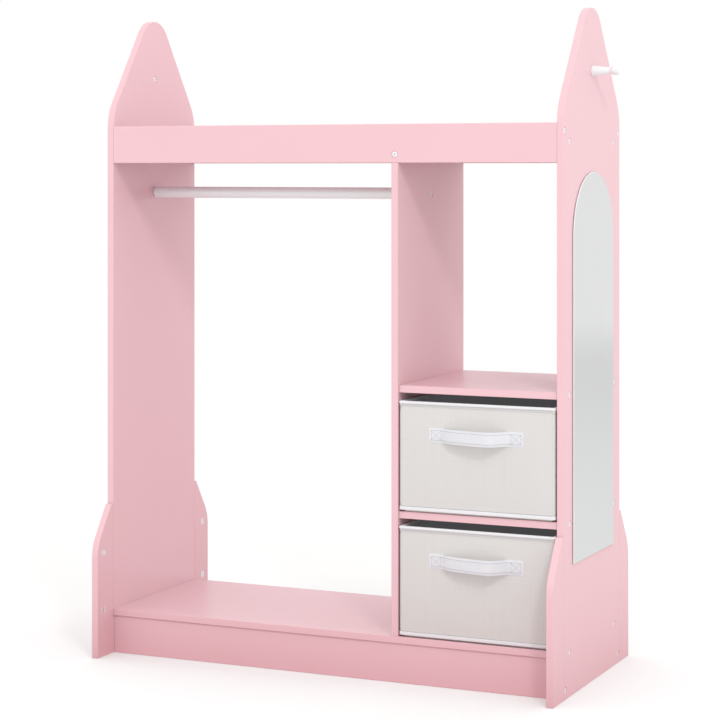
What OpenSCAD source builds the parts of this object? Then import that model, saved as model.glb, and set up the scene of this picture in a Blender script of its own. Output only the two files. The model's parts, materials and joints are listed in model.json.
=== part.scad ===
// Dress-up storage unit for a child's room. Two pointed side panels carry a tray, a hanging
// rod, a divider with shelves and two pull-out fabric bins; a mirror is stuck on the right side.
// The origin is on the floor in the middle of the unit. +Z is up, the front faces -Y and +X is
// the bin side.

/* [Boards] */
// Thickness of every painted board
board_t = 12; // [10:1:16]
// Depth of the side panels from front edge to rear edge
panel_d = 300; // [280:5:340]
// Width across the outside faces of the side panels
unit_w = 852; // [800:4:960]

/* [Gables] */
// Height of the gable tips above the floor
unit_h = 1128; // [1118:1:1160]
// Slope of the gable sides from the horizontal, in degrees
gable_slope = 54.5; // [52:0.5:57]
// Radius of the rounded gable tip
tip_r = 52; // [35:1:65]
// Radius of the curve from the upright edge into the gable slope
shoulder_r = 80; // [40:5:110]

/* [Ears] */
// How far each ear board reaches in front of or behind its side panel
ear_w = 53; // [46:1:70]
// Height of the top of the ears
ear_h = 264; // [250:2:300]
// Width of the blunt ledge at the top of an ear
ear_ledge = 6.5; // [3:0.5:10]
// Slope of an ear's upper edge from the horizontal, in degrees
ear_slope = 56; // [50:1:60]
// Radius of the curve from an ear's slope into its upright edge
ear_r = 65; // [30:5:80]

/* [Tray] */
// Height of the lower edge of the rails above the floor
rail_z = 868; // [840:2:872]
// Height of a rail board
rail_h = 65; // [56:1:72]
// Height of the tray shelf's underside above the lower edge of the rails
tray_lift = 28.6; // [20:0.2:32]

/* [Compartments] */
// Distance of the divider's middle from the middle of the unit
divider_x = 129; // [100:1:160]
// Height of the kickboards
kick_h = 66; // [60:1:80]
// Distance of the kickboards' outer faces behind the panel edges
kick_setback = 3; // [0:0.5:12]
// Distance of the bay shelves' front edges behind the divider's front edge
shelf_setback = 4.5; // [0:0.5:12]
// Clear height of the lower bin bay
lower_bay_h = 196.5; // [180:0.5:215]
// Clear height of the upper bin bay
upper_bay_h = 198; // [180:0.5:215]

/* [Hanging rod] */
// Diameter of the rod
rod_d = 20.6; // [18:0.2:28]
// Distance of the rod's axis below the lower edge of the rails
rod_drop = 53; // [40:1:80]
// Radius of the rounding at the rod's ends
rod_end_r = 3; // [1:0.5:5]

/* [Pegs] */
// Distance of the pegs' axis below the gable tips
peg_drop = 106; // [88:1:128]
// Length of a peg
peg_len = 48; // [44:1:60]
// Diameter of a peg where it meets the panel
peg_base_d = 19; // [16:0.5:26]
// Diameter of a peg's neck
peg_neck_d = 10.4; // [9:0.2:14]
// Distance of the neck from the panel
peg_neck_at = 30; // [26:1:32]
// Diameter of the knob at a peg's end
peg_knob_d = 15; // [14.4:0.2:20]
// Radius of the rounded rim of the knob
peg_rim_r = 3.4; // [2:0.2:4]

/* [Mirror] */
// Width of the mirror
mirror_w = 213; // [160:1:230]
// Height of the mirror to the top of its arch
mirror_h = 640; // [480:2:660]
// Height of the mirror's lower edge above the floor
mirror_z = 213; // [180:1:240]
// Thickness of the mirror sheet
mirror_t = 2; // [2:0.5:5]
// Thickness of the foam pads that hold the mirror
pad_t = 0.8; // [0.6:0.1:2]
// Width of a foam pad
pad_w = 20; // [10:1:30]

/* [Fasteners] */
// Diameter of the screws' shanks
screw_d = 5; // [4:0.5:6]
// Diameter of the screw heads
head_d = 9.6; // [8.4:0.2:10.4]
// Thickness of the flat upper part of a screw head
head_rim = 0.8; // [0.6:0.1:1.2]
// Depth of a screw head's top below the face of the board
head_sink = 0.5; // [0.2:0.1:0.8]
// Width of the ring of recess that stays open round a screw head
head_ring = 0.9; // [0.5:0.1:0.9]
// Length of the screws that join board to board
panel_screw_l = 40; // [34:1:50]
// Length of the screws that hold the rod and the pegs
short_screw_l = 35; // [30:1:38]
// Distance of the shelf screws from the panel's front or rear edge
shelf_screw_in = 31; // [24:1:50]
// Height of the rail screws above the lower edge of the rails
rail_screw_up = 51.6; // [48:0.2:54]
// Height of the kickboard screws above the floor
kick_screw_z = 15; // [12:1:25]
// Diameter of the wooden dowels
dowel_d = 6; // [5:0.5:8]
// Length of the wooden dowels
dowel_l = 24; // [20:1:30]
// Height of the rail dowels above the lower edge of the rails
rail_dowel_up = 14; // [10:1:20]
// Height of the kickboard dowels above the floor
kick_dowel_z = 45; // [38:1:50]
// Diameter of the cam locks in the ears
cam_d = 12; // [11:0.5:14]
// Depth of the cam locks
cam_depth = 9.2; // [9:0.1:9.5]
// Distance of a cam lock's centre from the joint between ear and panel
cam_in = 32; // [28:1:34]
// Height of the lower cam lock above the floor
cam_low_z = 81.5; // [70:0.5:100]
// Height of the upper cam lock above the floor
cam_high_z = 183; // [160:1:190]
// Diameter of the cam locks' bolts
bolt_d = 5; // [4:0.5:5.5]
// Depth of the bolts' screwed ends in the side panels
bolt_grip = 11; // [9:1:16]
// Height of the lower ear dowel above the floor
ear_dowel_low_z = 30; // [20:1:50]
// Height of the upper ear dowel above the floor
ear_dowel_high_z = 132; // [110:1:150]

/* [Bins] */
// Depth of a bin from front to back
bin_d = 280; // [240:5:295]
// Gap at each side of a bin
bin_side_gap = 3.25; // [2:0.25:8]
// Gap above a bin in the lower of the two bays
bin_top_gap = 11.5; // [8:0.5:20]
// Distance that a bin's floor hangs below its hem
bin_belly = 3.3; // [1.5:0.1:4]
// Width of the hem outside the sagging floor
bin_hem_w = 8; // [5:0.5:14]
// Thickness of the outer cloth
cloth_t = 1.2; // [0.8:0.1:2]
// Thickness of the card in the walls
card_t = 2; // [1.5:0.1:3]
// Thickness of the lining
lining_t = 0.8; // [0.6:0.1:1.2]
// Thickness of the loose floor board
floor_board_t = 2.5; // [2:0.1:4]
// Height of the tape folded over a bin's upper edge
rim_tape_h = 8.5; // [6:0.5:12]
// Height of the tape round a bin's hem
hem_tape_h = 6; // [4:0.5:10]
// Thickness of both tapes
tape_t = 0.6; // [0.4:0.1:1]

/* [Bin handles] */
// Width of the webbing
strap_w = 24; // [20:1:30]
// Thickness of the webbing
strap_t = 1.6; // [1.2:0.1:2.4]
// Length of the handle from end to end
strap_l = 165; // [150:1:190]
// Distance that the handle bows away from the bin
strap_bow = 24; // [18:1:32]
// Distance of the handle's middle below the bin's upper edge
strap_drop = 54.5; // [45:0.5:80]

/* [Hidden] */
$fn = 48;

// Colours of the real surfaces
pink = [0.97, 0.80, 0.83];
white = [0.95, 0.95, 0.96];
wood = [0.86, 0.74, 0.56];
zinc = [0.75, 0.76, 0.78];
cloth = [0.89, 0.88, 0.86];
charcoal = [0.26, 0.26, 0.27];
card = [0.70, 0.62, 0.50];

// Clearances: round fasteners in their holes, a bin above its shelf, cards at their corners
// and a loose board in its lining
hole_gap = 0.05;
rest_gap = 0.3;
card_gap = 0.5;
board_gap = 0.5;
over = 1;

// Places across the unit
outer_x = unit_w / 2;
inner_x = outer_x - board_t;
edge_y = panel_d / 2;
inner_w = 2 * inner_x;
divider_left = divider_x - board_t / 2;
divider_right = divider_x + board_t / 2;
bay_w = inner_x - divider_right;

// Heights
base_z = kick_h;
base_top = base_z + board_t;
middle_z = base_top + lower_bay_h;
middle_top = middle_z + board_t;
upper_z = middle_top + upper_bay_h;
tray_z = rail_z + tray_lift;
rod_z = rail_z - rod_drop;
peg_z = unit_h - peg_drop;

// Middle planes of the rails and the kickboards, for the positive Y side
rail_y = edge_y - board_t / 2;
kick_y = edge_y - kick_setback - board_t / 2;
shelf_screw_y = edge_y - shelf_screw_in;

// Points [y, z] where a screw goes in through a side panel
function both(y, z) = [[-y, z], [y, z]];
function shelf_points(z) = both(shelf_screw_y, z + board_t / 2);
frame_points = concat(
    both(rail_y, rail_z + rail_screw_up), both(kick_y, kick_screw_z),
    shelf_points(tray_z), shelf_points(base_z));
bay_points = concat(shelf_points(upper_z), shelf_points(middle_z));

// Points [y, z] of the dowels between the side panels and the long boards
dowel_points = concat(both(rail_y, rail_z + rail_dowel_up), both(kick_y, kick_dowel_z));

// Screw at its place: the local +Z axis is the way it is driven, from the board's face.
module driven(way) {
    if (way == "+x") rotate([0, 90, 0]) children();
    if (way == "-x") rotate([0, -90, 0]) children();
    if (way == "+y") rotate([-90, 0, 0]) children();
    if (way == "-y") rotate([90, 0, 0]) children();
    if (way == "+z") children();
}

// Countersunk screw with a hexagon socket. The head's cone is as steep as it is deep.
socket_r = 2.3;
socket_depth = 2;
cone_h = (head_d - screw_d) / 2;
point_h = screw_d;
module screw(length) {
    difference() {
        union() {
            translate([0, 0, head_sink]) cylinder(h = head_rim, d = head_d);
            translate([0, 0, head_sink + head_rim])
                cylinder(h = cone_h, d1 = head_d, d2 = screw_d);
            translate([0, 0, head_sink + head_rim])
                cylinder(h = length - head_rim - point_h, d = screw_d);
            translate([0, 0, head_sink + length - point_h])
                cylinder(h = point_h, d1 = screw_d, d2 = screw_d / 4);
        }
        translate([0, 0, head_sink - over]) cylinder(h = over + socket_depth, r = socket_r, $fn = 6);
    }
}

// Room for a screw: recess with a ring round the head, seat for the cone and shank hole
module screw_room(length) {
    ring_d = head_d + 2 * head_ring;
    translate([0, 0, -over]) cylinder(h = over + head_sink + head_rim, d = ring_d);
    translate([0, 0, head_sink + head_rim - hole_gap])
        cylinder(h = cone_h + hole_gap, d1 = head_d + 4 * hole_gap, d2 = screw_d + 2 * hole_gap);
    cylinder(h = head_sink + length + hole_gap, d = screw_d + 2 * hole_gap);
}

// Every board screw, or the room for it
module at_panel_screws() {
    for (p = frame_points) translate([-outer_x, p[0], p[1]]) driven("+x") children();
    for (p = concat(frame_points, bay_points))
        translate([outer_x, p[0], p[1]]) driven("-x") children();
    for (p = bay_points) translate([divider_left, p[0], p[1]]) driven("+x") children();
    translate([divider_x, -edge_y, rail_z + tray_lift / 2]) driven("+y") children();
    translate([divider_x, edge_y, rail_z + tray_lift / 2]) driven("-y") children();
    for (side = [-1, 1])
        translate([divider_x, side * shelf_screw_y, base_z]) driven("+z") children();
}

// The two rod screws: one from outside the left panel, one from the bin side of the divider
module at_rod_screws() {
    translate([-outer_x, 0, rod_z]) driven("+x") children();
    translate([divider_right, 0, rod_z]) driven("-x") children();
}

// The two peg screws come from inside the gables.
module at_peg_screws() {
    translate([-inner_x, 0, peg_z]) driven("-x") children();
    translate([inner_x, 0, peg_z]) driven("+x") children();
}

// All the screw rooms, to be cut from any board or turned part
module screw_rooms() {
    at_panel_screws() screw_room(panel_screw_l);
    at_rod_screws() screw_room(short_screw_l);
    at_peg_screws() screw_room(short_screw_l);
}

// Dowels lie half in each board, but a panel's face takes only a shallow end.
face_dowel_depth = board_t * 2 / 3;
module at_face_dowels() {
    for (side = [-1, 1], p = dowel_points)
        translate([side * (inner_x + face_dowel_depth), p[0], p[1]])
            driven(side > 0 ? "-x" : "+x") children();
}
module at_ear_dowels() {
    for (side = [-1, 1], end = [-1, 1], z = [ear_dowel_low_z, ear_dowel_high_z])
        translate([side * (outer_x - board_t / 2), end * (edge_y - dowel_l / 2), z])
            driven(end > 0 ? "+y" : "-y") children();
}
module dowel() {
    cylinder(h = dowel_l, d = dowel_d);
}
module dowel_room() {
    translate([0, 0, -hole_gap]) cylinder(h = dowel_l + 2 * hole_gap, d = dowel_d + 2 * hole_gap);
}
module dowel_rooms() {
    at_face_dowels() dowel_room();
    at_ear_dowels() dowel_room();
}

// Cam locks: each local frame has its origin on the joint, +Z into the ear and +X
// towards the ear's inner face.
module at_cams() {
    for (side = [-1, 1], end = [-1, 1], z = [cam_low_z, cam_high_z])
        translate([side * (outer_x - board_t / 2), end * edge_y, z])
            rotate([-90 * end, 0, 0]) mirror([side > 0 ? 1 : 0, 0, 0]) children();
}
bolt_head_rim = 0.5;
bolt_head_d = bolt_d + 2 * bolt_head_rim;
bolt_head_l = bolt_d;
cam_slot_w = 1.4;
cam_slot_depth = 1.6;
module cam() {
    translate([board_t / 2 - cam_depth, 0, cam_in]) rotate([0, 90, 0])
        difference() {
            cylinder(h = cam_depth, d = cam_d);
            // pocket for the bolt's head, open towards the joint
            translate([0, 0, cam_depth - board_t / 2]) rotate([0, 90, 0])
                translate([0, 0, -bolt_head_l / 2 - hole_gap])
                    cylinder(h = cam_d, d = bolt_head_d + 2 * hole_gap);
            // crossed slots for a screwdriver
            for (turn = [0, 90]) rotate(turn)
                translate([-cam_d / 3, -cam_slot_w / 2, cam_depth - cam_slot_depth])
                    cube([cam_d * 2 / 3, cam_slot_w, cam_slot_depth + over]);
        }
}
module cam_bolt() {
    translate([0, 0, -bolt_grip]) cylinder(h = bolt_grip + cam_in, d = bolt_d);
    translate([0, 0, cam_in - bolt_head_l / 2]) cylinder(h = bolt_head_l, d = bolt_head_d);
}
module cam_room() {
    translate([board_t / 2 - cam_depth - hole_gap, 0, cam_in]) rotate([0, 90, 0])
        cylinder(h = cam_depth + hole_gap + over, d = cam_d + 2 * hole_gap);
    translate([0, 0, -bolt_grip - hole_gap])
        cylinder(h = bolt_grip + 2 * hole_gap, d = bolt_d + 2 * hole_gap);
    cylinder(h = cam_in, d = bolt_head_d + 2 * hole_gap);
}

// Outline of a side panel, drawn with Y across and Z up
tip_z = unit_h - tip_r;
tip_y = tip_r * sin(gable_slope);
tip_join_z = tip_z + tip_r * cos(gable_slope);
shoulder_corner_z = tip_join_z - (edge_y - tip_y) * tan(gable_slope);
shoulder_z = shoulder_corner_z - shoulder_r * tan((90 - gable_slope) / 2);
shoulder_y = edge_y - shoulder_r;
module panel_outline() {
    polygon([
        [-edge_y, 0], [edge_y, 0], [edge_y, shoulder_z],
        [shoulder_y + shoulder_r * sin(gable_slope), shoulder_z + shoulder_r * cos(gable_slope)],
        [tip_y, tip_join_z], [-tip_y, tip_join_z],
        [-shoulder_y - shoulder_r * sin(gable_slope), shoulder_z + shoulder_r * cos(gable_slope)],
        [-edge_y, shoulder_z]
    ]);
    for (side = [-1, 1]) translate([side * shoulder_y, shoulder_z]) circle(shoulder_r, $fn = 96);
    translate([0, tip_z]) circle(tip_r, $fn = 96);
}

// Outline of an ear, drawn with the joint at zero and the ear reaching to the right
ear_corner_z = ear_h - (ear_w - ear_ledge) * tan(ear_slope);
ear_curve_z = ear_corner_z - ear_r * tan((90 - ear_slope) / 2);
ear_join_u = ear_w - ear_r + ear_r * sin(ear_slope);
ear_join_z = ear_curve_z + ear_r * cos(ear_slope);
module ear_outline() {
    polygon([
        [0, 0], [ear_w, 0], [ear_w, ear_curve_z], [ear_join_u, ear_join_z],
        [ear_ledge, ear_h], [0, ear_h]
    ]);
    intersection() {
        translate([ear_w - ear_r, ear_curve_z]) circle(ear_r, $fn = 96);
        translate([0, ear_curve_z]) square([ear_w, ear_join_z - ear_curve_z]);
    }
}

// An outline in Y and Z made into a board that starts at x
module upright_board(x) {
    translate([x, 0, 0]) rotate([90, 0, 90]) linear_extrude(board_t) children();
}

// side is -1 for left and 1 for right; end is -1 for front and 1 for rear.
function panel_x(side) = side > 0 ? inner_x : -outer_x;
module side_panel(side) {
    color(pink) difference() {
        upright_board(panel_x(side)) panel_outline();
        screw_rooms();
        dowel_rooms();
        at_cams() cam_room();
    }
}
module ear(side, end) {
    color(pink) difference() {
        upright_board(panel_x(side))
            mirror([end > 0 ? 0 : 1, 0]) translate([edge_y, 0]) ear_outline();
        dowel_rooms();
        at_cams() cam_room();
    }
}
module left_side_panel() { side_panel(-1); }
module right_side_panel() { side_panel(1); }
module left_front_ear() { ear(-1, -1); }
module left_rear_ear() { ear(-1, 1); }
module right_front_ear() { ear(1, -1); }
module right_rear_ear() { ear(1, 1); }

// A board between the side panels, from y0 to y1 and from z0 to z1
module cross_board(y0, y1, z0, z1) {
    color(pink) difference() {
        translate([-inner_x, y0, z0]) cube([inner_w, y1 - y0, z1 - z0]);
        screw_rooms();
        at_face_dowels() dowel_room();
    }
}
module front_rail() { cross_board(-edge_y, -edge_y + board_t, rail_z, rail_z + rail_h); }
module rear_rail() { cross_board(edge_y - board_t, edge_y, rail_z, rail_z + rail_h); }
module top_shelf() { cross_board(-edge_y + board_t, edge_y - board_t, tray_z, tray_z + board_t); }
module base_shelf() { cross_board(-edge_y, edge_y, base_z, base_top); }
module front_kickboard() { cross_board(-kick_y - board_t / 2, -kick_y + board_t / 2, 0, kick_h); }
module rear_kickboard() { cross_board(kick_y - board_t / 2, kick_y + board_t / 2, 0, kick_h); }

// The divider is notched at the top for both rails.
module divider() {
    color(pink) difference() {
        translate([divider_left, -edge_y, base_top]) cube([board_t, panel_d, tray_z - base_top]);
        for (y = [-edge_y - over, edge_y - board_t])
            translate([divider_left - over, y, rail_z])
                cube([board_t + 2 * over, board_t + over, tray_lift + over]);
        screw_rooms();
    }
}

// A shelf between the divider and the right side panel
module bay_shelf(z) {
    color(pink) difference() {
        translate([divider_right, -edge_y + shelf_setback, z])
            cube([bay_w, panel_d - shelf_setback, board_t]);
        screw_rooms();
    }
}
module upper_shelf() { bay_shelf(upper_z); }
module middle_shelf() { bay_shelf(middle_z); }

// The rod runs from the left panel to the divider, with the rims of its ends rounded.
rod_l = divider_left + inner_x;
module rod_profile() {
    straight_r = rod_d / 2 - rod_end_r;
    square([straight_r, rod_l]);
    translate([0, rod_end_r]) square([rod_d / 2, rod_l - 2 * rod_end_r]);
    for (z = [rod_end_r, rod_l - rod_end_r]) translate([straight_r, z]) circle(rod_end_r);
}
module clothes_rod() {
    color(white) difference() {
        translate([-inner_x, 0, rod_z]) driven("+x") rotate_extrude() rod_profile();
        at_rod_screws() screw_room(short_screw_l);
    }
}

// A peg tapers to its neck, flares to a knob and ends in a rounded rim.
knob_at = (peg_neck_at + peg_len - peg_rim_r) / 2;
module peg_profile() {
    base_r = peg_base_d / 2;
    neck_r = peg_neck_d / 2;
    knob_r = peg_knob_d / 2;
    polygon([
        [0, 0], [base_r, 0], [neck_r, peg_neck_at], [knob_r, knob_at],
        [knob_r, peg_len - peg_rim_r], [knob_r - peg_rim_r, peg_len], [0, peg_len]
    ]);
    translate([knob_r - peg_rim_r, peg_len - peg_rim_r]) circle(peg_rim_r);
}
module peg(side) {
    color(white) difference() {
        translate([side * outer_x, 0, peg_z]) driven(side > 0 ? "+x" : "-x")
            rotate_extrude() peg_profile();
        at_peg_screws() screw_room(short_screw_l);
    }
}
module left_peg() { peg(-1); }
module right_peg() { peg(1); }

// Mirror sheet with a half-round top, on foam pads on the right panel's outer face
arch_r = mirror_w / 2;
arch_z = mirror_z + mirror_h - arch_r;
module mirror_outline() {
    translate([-arch_r, mirror_z]) square([mirror_w, mirror_h - arch_r]);
    translate([0, arch_z]) circle(arch_r, $fn = 96);
}
module mirror_sheet(x, thickness) {
    translate([x, 0, 0]) rotate([90, 0, 90]) linear_extrude(thickness) children();
}
module mirror_plate() {
    color([0.88, 0.89, 0.90]) mirror_sheet(outer_x + pad_t, mirror_t) mirror_outline();
}
module mirror_pads() {
    reach = arch_z - mirror_z - 2 * pad_w;
    color(white) mirror_sheet(outer_x, pad_t) {
        for (side = [-1, 1])
            translate([side * (arch_r - 1.5 * pad_w) - pad_w / 2, mirror_z + pad_w])
                square([pad_w, reach]);
        translate([-pad_w, arch_z + arch_r - 2.5 * pad_w]) square([2 * pad_w, pad_w]);
    }
}

module panel_screws() { color(white) at_panel_screws() screw(panel_screw_l); }
module rod_screws() { color(white) at_rod_screws() screw(short_screw_l); }
module peg_screws() { color(white) at_peg_screws() screw(short_screw_l); }
module wood_dowels() {
    color(wood) {
        at_face_dowels() dowel();
        at_ear_dowels() dowel();
    }
}
module ear_cams() { color(white) at_cams() cam(); }
module ear_cam_bolts() { color(zinc) at_cams() cam_bolt(); }

// Bins. The local frame of a bin has X across from its middle, Y back from its front face
// and Z up from the lowest point of its sagging floor.
bin_x = (divider_right + inner_x) / 2;
bin_w = bay_w - 2 * bin_side_gap;
bin_top = min(lower_bay_h, upper_bay_h) - bin_top_gap - rest_gap;
wall_t = cloth_t + card_t + lining_t;
module at_bin(shelf_top) {
    translate([bin_x, -edge_y, shelf_top + rest_gap]) children();
}

// Block of a bin's footprint drawn in by inset, from z0 to z1
module bin_block(inset, z0, z1) {
    translate([-bin_w / 2 + inset, inset, z0])
        cube([bin_w - 2 * inset, bin_d - 2 * inset, z1 - z0]);
}

// Open box of one cloth layer: straight walls and a floor that hangs inside the hem
module cloth_box(inset, thickness, below) {
    hem = bin_belly + below;
    difference() {
        union() {
            bin_block(inset, hem, bin_top - tape_t);
            bin_block(bin_hem_w + below, below, hem + thickness);
        }
        bin_block(inset + thickness, hem + thickness, bin_top + over);
        bin_block(bin_hem_w + below + thickness, below + thickness, bin_top + over);
    }
}
module bin_shell(shelf_top) {
    color(cloth) at_bin(shelf_top) cloth_box(0, cloth_t, 0);
}
module bin_lining(shelf_top) {
    color(charcoal) at_bin(shelf_top) cloth_box(cloth_t + card_t, lining_t, cloth_t);
}

// Four loose cards in the walls: the front and rear ones run the whole way across.
module bin_cards(shelf_top) {
    z0 = bin_belly + cloth_t;
    height = bin_top - tape_t - z0;
    long_w = bin_w - 2 * cloth_t;
    side_l = bin_d - 2 * (cloth_t + card_t + card_gap);
    color(card) at_bin(shelf_top) {
        for (y = [cloth_t, bin_d - cloth_t - card_t])
            translate([-long_w / 2, y, z0]) cube([long_w, card_t, height]);
        for (x = [-long_w / 2, long_w / 2 - card_t])
            translate([x, cloth_t + card_t + card_gap, z0]) cube([card_t, side_l, height]);
    }
}

// Loose board in the sagging floor of the lining
module bin_floor_board(shelf_top) {
    z0 = cloth_t + lining_t;
    inset = bin_hem_w + cloth_t + lining_t + board_gap;
    color(charcoal) at_bin(shelf_top) bin_block(inset, z0, z0 + floor_board_t);
}

// Tape folded over the upper edges of the walls
module bin_top_tape(shelf_top) {
    color(white) at_bin(shelf_top) difference() {
        bin_block(-tape_t, bin_top - rim_tape_h, bin_top);
        bin_block(wall_t + tape_t, bin_top - rim_tape_h - over, bin_top + over);
        difference() {
            bin_block(0, bin_top - rim_tape_h - over, bin_top - tape_t);
            bin_block(wall_t, bin_top - rim_tape_h - 2 * over, bin_top);
        }
    }
}

// Tape round the hem
module bin_bottom_tape(shelf_top) {
    color(white) at_bin(shelf_top) difference() {
        bin_block(-tape_t, bin_belly, bin_belly + hem_tape_h);
        bin_block(0, bin_belly - over, bin_belly + hem_tape_h + over);
    }
}

// Webbing handle: both ends lie flat on the bin, and the middle bows out, most at the
// right of its middle. Each pair is a share of half the length and a share of the bow.
strap_shares = [
    [-1, 0], [-0.86, 0], [-0.72, 0], [-0.6, 0.3], [-0.38, 0.6], [-0.02, 0.86],
    [0.3, 1], [0.44, 0.85], [0.58, 0.36], [0.7, 0], [0.86, 0], [1, 0]
];
strap_steps = 4;
function spline(a, b, c, d, t) = 0.5 * (2 * b + (c - a) * t + (2 * a - 5 * b + 4 * c - d) * t * t
    + (3 * b - a - 3 * c + d) * t * t * t);
function clipped(p) = [p[0], max(0, p[1])];
strap_last = len(strap_shares) - 1;
strap_curve = [
    for (i = [1 : strap_last - 2], k = [0 : strap_steps - 1])
        clipped(spline(strap_shares[i - 1], strap_shares[i], strap_shares[i + 1],
            strap_shares[i + 2], k / strap_steps)),
    strap_shares[strap_last - 1], strap_shares[strap_last]
];
strap_line = concat([strap_shares[0]], strap_curve);
function strap_at(i, side) = let (
    p = [for (q = strap_line) [q[0] * strap_l / 2, -q[1] * strap_bow - strap_t / 2]],
    ahead = p[min(i + 1, len(p) - 1)] - p[max(i - 1, 0)],
    normal = [-ahead[1], ahead[0]] / norm(ahead))
    p[i] + side * normal * strap_t / 2;
strap_count = len(strap_line);
module bin_handle(shelf_top) {
    color(white) at_bin(shelf_top)
        translate([0, 0, bin_top - strap_drop - strap_w / 2]) linear_extrude(strap_w)
            polygon(concat(
                [for (i = [0 : strap_count - 1]) strap_at(i, 1)],
                [for (i = [strap_count - 1 : -1 : 0]) strap_at(i, -1)]));
}

module upper_bin_shell() { bin_shell(middle_top); }
module upper_bin_cards() { bin_cards(middle_top); }
module upper_bin_lining() { bin_lining(middle_top); }
module upper_bin_floor_board() { bin_floor_board(middle_top); }
module upper_bin_top_tape() { bin_top_tape(middle_top); }
module upper_bin_bottom_tape() { bin_bottom_tape(middle_top); }
module upper_bin_handle() { bin_handle(middle_top); }
module lower_bin_shell() { bin_shell(base_top); }
module lower_bin_cards() { bin_cards(base_top); }
module lower_bin_lining() { bin_lining(base_top); }
module lower_bin_floor_board() { bin_floor_board(base_top); }
module lower_bin_top_tape() { bin_top_tape(base_top); }
module lower_bin_bottom_tape() { bin_bottom_tape(base_top); }
module lower_bin_handle() { bin_handle(base_top); }

left_side_panel();
right_side_panel();
left_front_ear();
left_rear_ear();
right_front_ear();
right_rear_ear();
front_rail();
rear_rail();
top_shelf();
divider();
upper_shelf();
middle_shelf();
base_shelf();
front_kickboard();
rear_kickboard();
clothes_rod();
left_peg();
right_peg();
mirror_plate();  // mirror
mirror_pads();
panel_screws();
rod_screws();
peg_screws();
wood_dowels();
ear_cams();
ear_cam_bolts();
upper_bin_shell();
upper_bin_cards();
upper_bin_lining();
upper_bin_floor_board();
upper_bin_top_tape();
upper_bin_bottom_tape();
upper_bin_handle();
lower_bin_shell();
lower_bin_cards();
lower_bin_lining();
lower_bin_floor_board();
lower_bin_top_tape();
lower_bin_bottom_tape();
lower_bin_handle();
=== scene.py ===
# %% [markdown]
# # Dress-up storage unit for a child's room
#
# The object is a flat-pack unit of pink painted boards: two pointed side panels, a tray, a
# hanging rod, a divider with shelves, and two pull-out fabric bins. The engineering model
# holds every size, fit and joint. This lesson dresses that model: each board gets its eased
# edges and its screw recesses, each bin its sewn cloth, and every surface a finish.
#
# Blender opens with a cube, a lamp and a camera, which are cleared away first. Then the first
# cell loads the engineering model as a fixed frame and keeps its size.

# %% Load the frame
import json
import math
import bpy
from mathutils import Matrix, Vector

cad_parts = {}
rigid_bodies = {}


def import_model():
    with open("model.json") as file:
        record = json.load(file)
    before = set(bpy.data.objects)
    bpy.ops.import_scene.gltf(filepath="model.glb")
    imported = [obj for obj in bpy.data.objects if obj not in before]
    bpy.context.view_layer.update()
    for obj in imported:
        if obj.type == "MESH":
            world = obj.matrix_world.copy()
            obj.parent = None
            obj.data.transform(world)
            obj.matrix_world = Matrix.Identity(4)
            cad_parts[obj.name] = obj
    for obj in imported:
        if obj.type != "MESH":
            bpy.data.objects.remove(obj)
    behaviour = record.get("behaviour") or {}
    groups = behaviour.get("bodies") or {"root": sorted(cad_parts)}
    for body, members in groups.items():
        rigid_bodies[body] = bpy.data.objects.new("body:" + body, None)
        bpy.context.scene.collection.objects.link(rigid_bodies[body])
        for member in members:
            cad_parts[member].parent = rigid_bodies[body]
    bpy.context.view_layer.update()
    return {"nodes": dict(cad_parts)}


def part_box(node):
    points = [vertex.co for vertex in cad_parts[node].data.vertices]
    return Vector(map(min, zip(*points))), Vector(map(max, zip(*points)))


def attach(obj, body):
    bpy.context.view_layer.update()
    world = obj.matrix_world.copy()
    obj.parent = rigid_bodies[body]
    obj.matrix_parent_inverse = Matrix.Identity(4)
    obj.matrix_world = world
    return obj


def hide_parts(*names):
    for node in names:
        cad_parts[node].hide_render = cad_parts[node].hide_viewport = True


for spare in list(bpy.data.objects):
    bpy.data.objects.remove(spare)
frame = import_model()

# %% [markdown]
# ## Camera
#
# The product photo was taken from the front right, from a little below the tray, with a long
# lens. A camera that looks level keeps upright edges parallel, so its height is set by a lens
# shift and not by tilting it, as an architect's camera does.

# %% Camera
CAMERA_PLACE = (1.5310, -3.40605, 0.85821)
CAMERA_TURN = math.radians(24.221)
SENSOR_MM = 36
LENS_MM = 106.21
SHIFT_ACROSS = -0.00031
SHIFT_UP = -0.26582

camera_data = bpy.data.cameras.new("photo_camera")
camera_data.sensor_width = SENSOR_MM
camera_data.lens = LENS_MM
camera_data.shift_x = SHIFT_ACROSS
camera_data.shift_y = SHIFT_UP
camera = bpy.data.objects.new("photo_camera", camera_data)
camera.location = CAMERA_PLACE
camera.rotation_euler = (math.pi / 2, 0, CAMERA_TURN)
bpy.context.scene.collection.objects.link(camera)
bpy.context.scene.camera = camera
bpy.context.scene.view_settings.view_transform = "Standard"
print("camera turned", round(math.degrees(CAMERA_TURN), 1), "degrees from the front")

# %% [markdown]
# ## Working by hand, in code
#
# Every new piece starts as a primitive at its real place and is shaped with the same operators
# a modeller uses in edit mode. Operators act on whatever is selected, so the helpers below
# always deselect first and then select by place or direction. A face counts as square on when
# nine tenths of its normal point that way. A finished piece keeps its object at the origin and
# carries its place in its mesh, as the engineering model's nodes do.

# %% Helpers for selecting and placing
MM = 0.001
MERGE_GAP = 0.005 * MM
SQUARE_ON = 0.9


def leave_edit():
    bpy.ops.object.mode_set(mode="OBJECT")


def nothing_selected():
    if bpy.context.mode != "OBJECT":
        leave_edit()
    bpy.ops.object.select_all(action="DESELECT")


def work_on(piece):
    """Leaves edit mode, deselects everything and makes this piece the only active one."""
    nothing_selected()
    piece.select_set(True)
    bpy.context.view_layer.objects.active = piece


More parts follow.
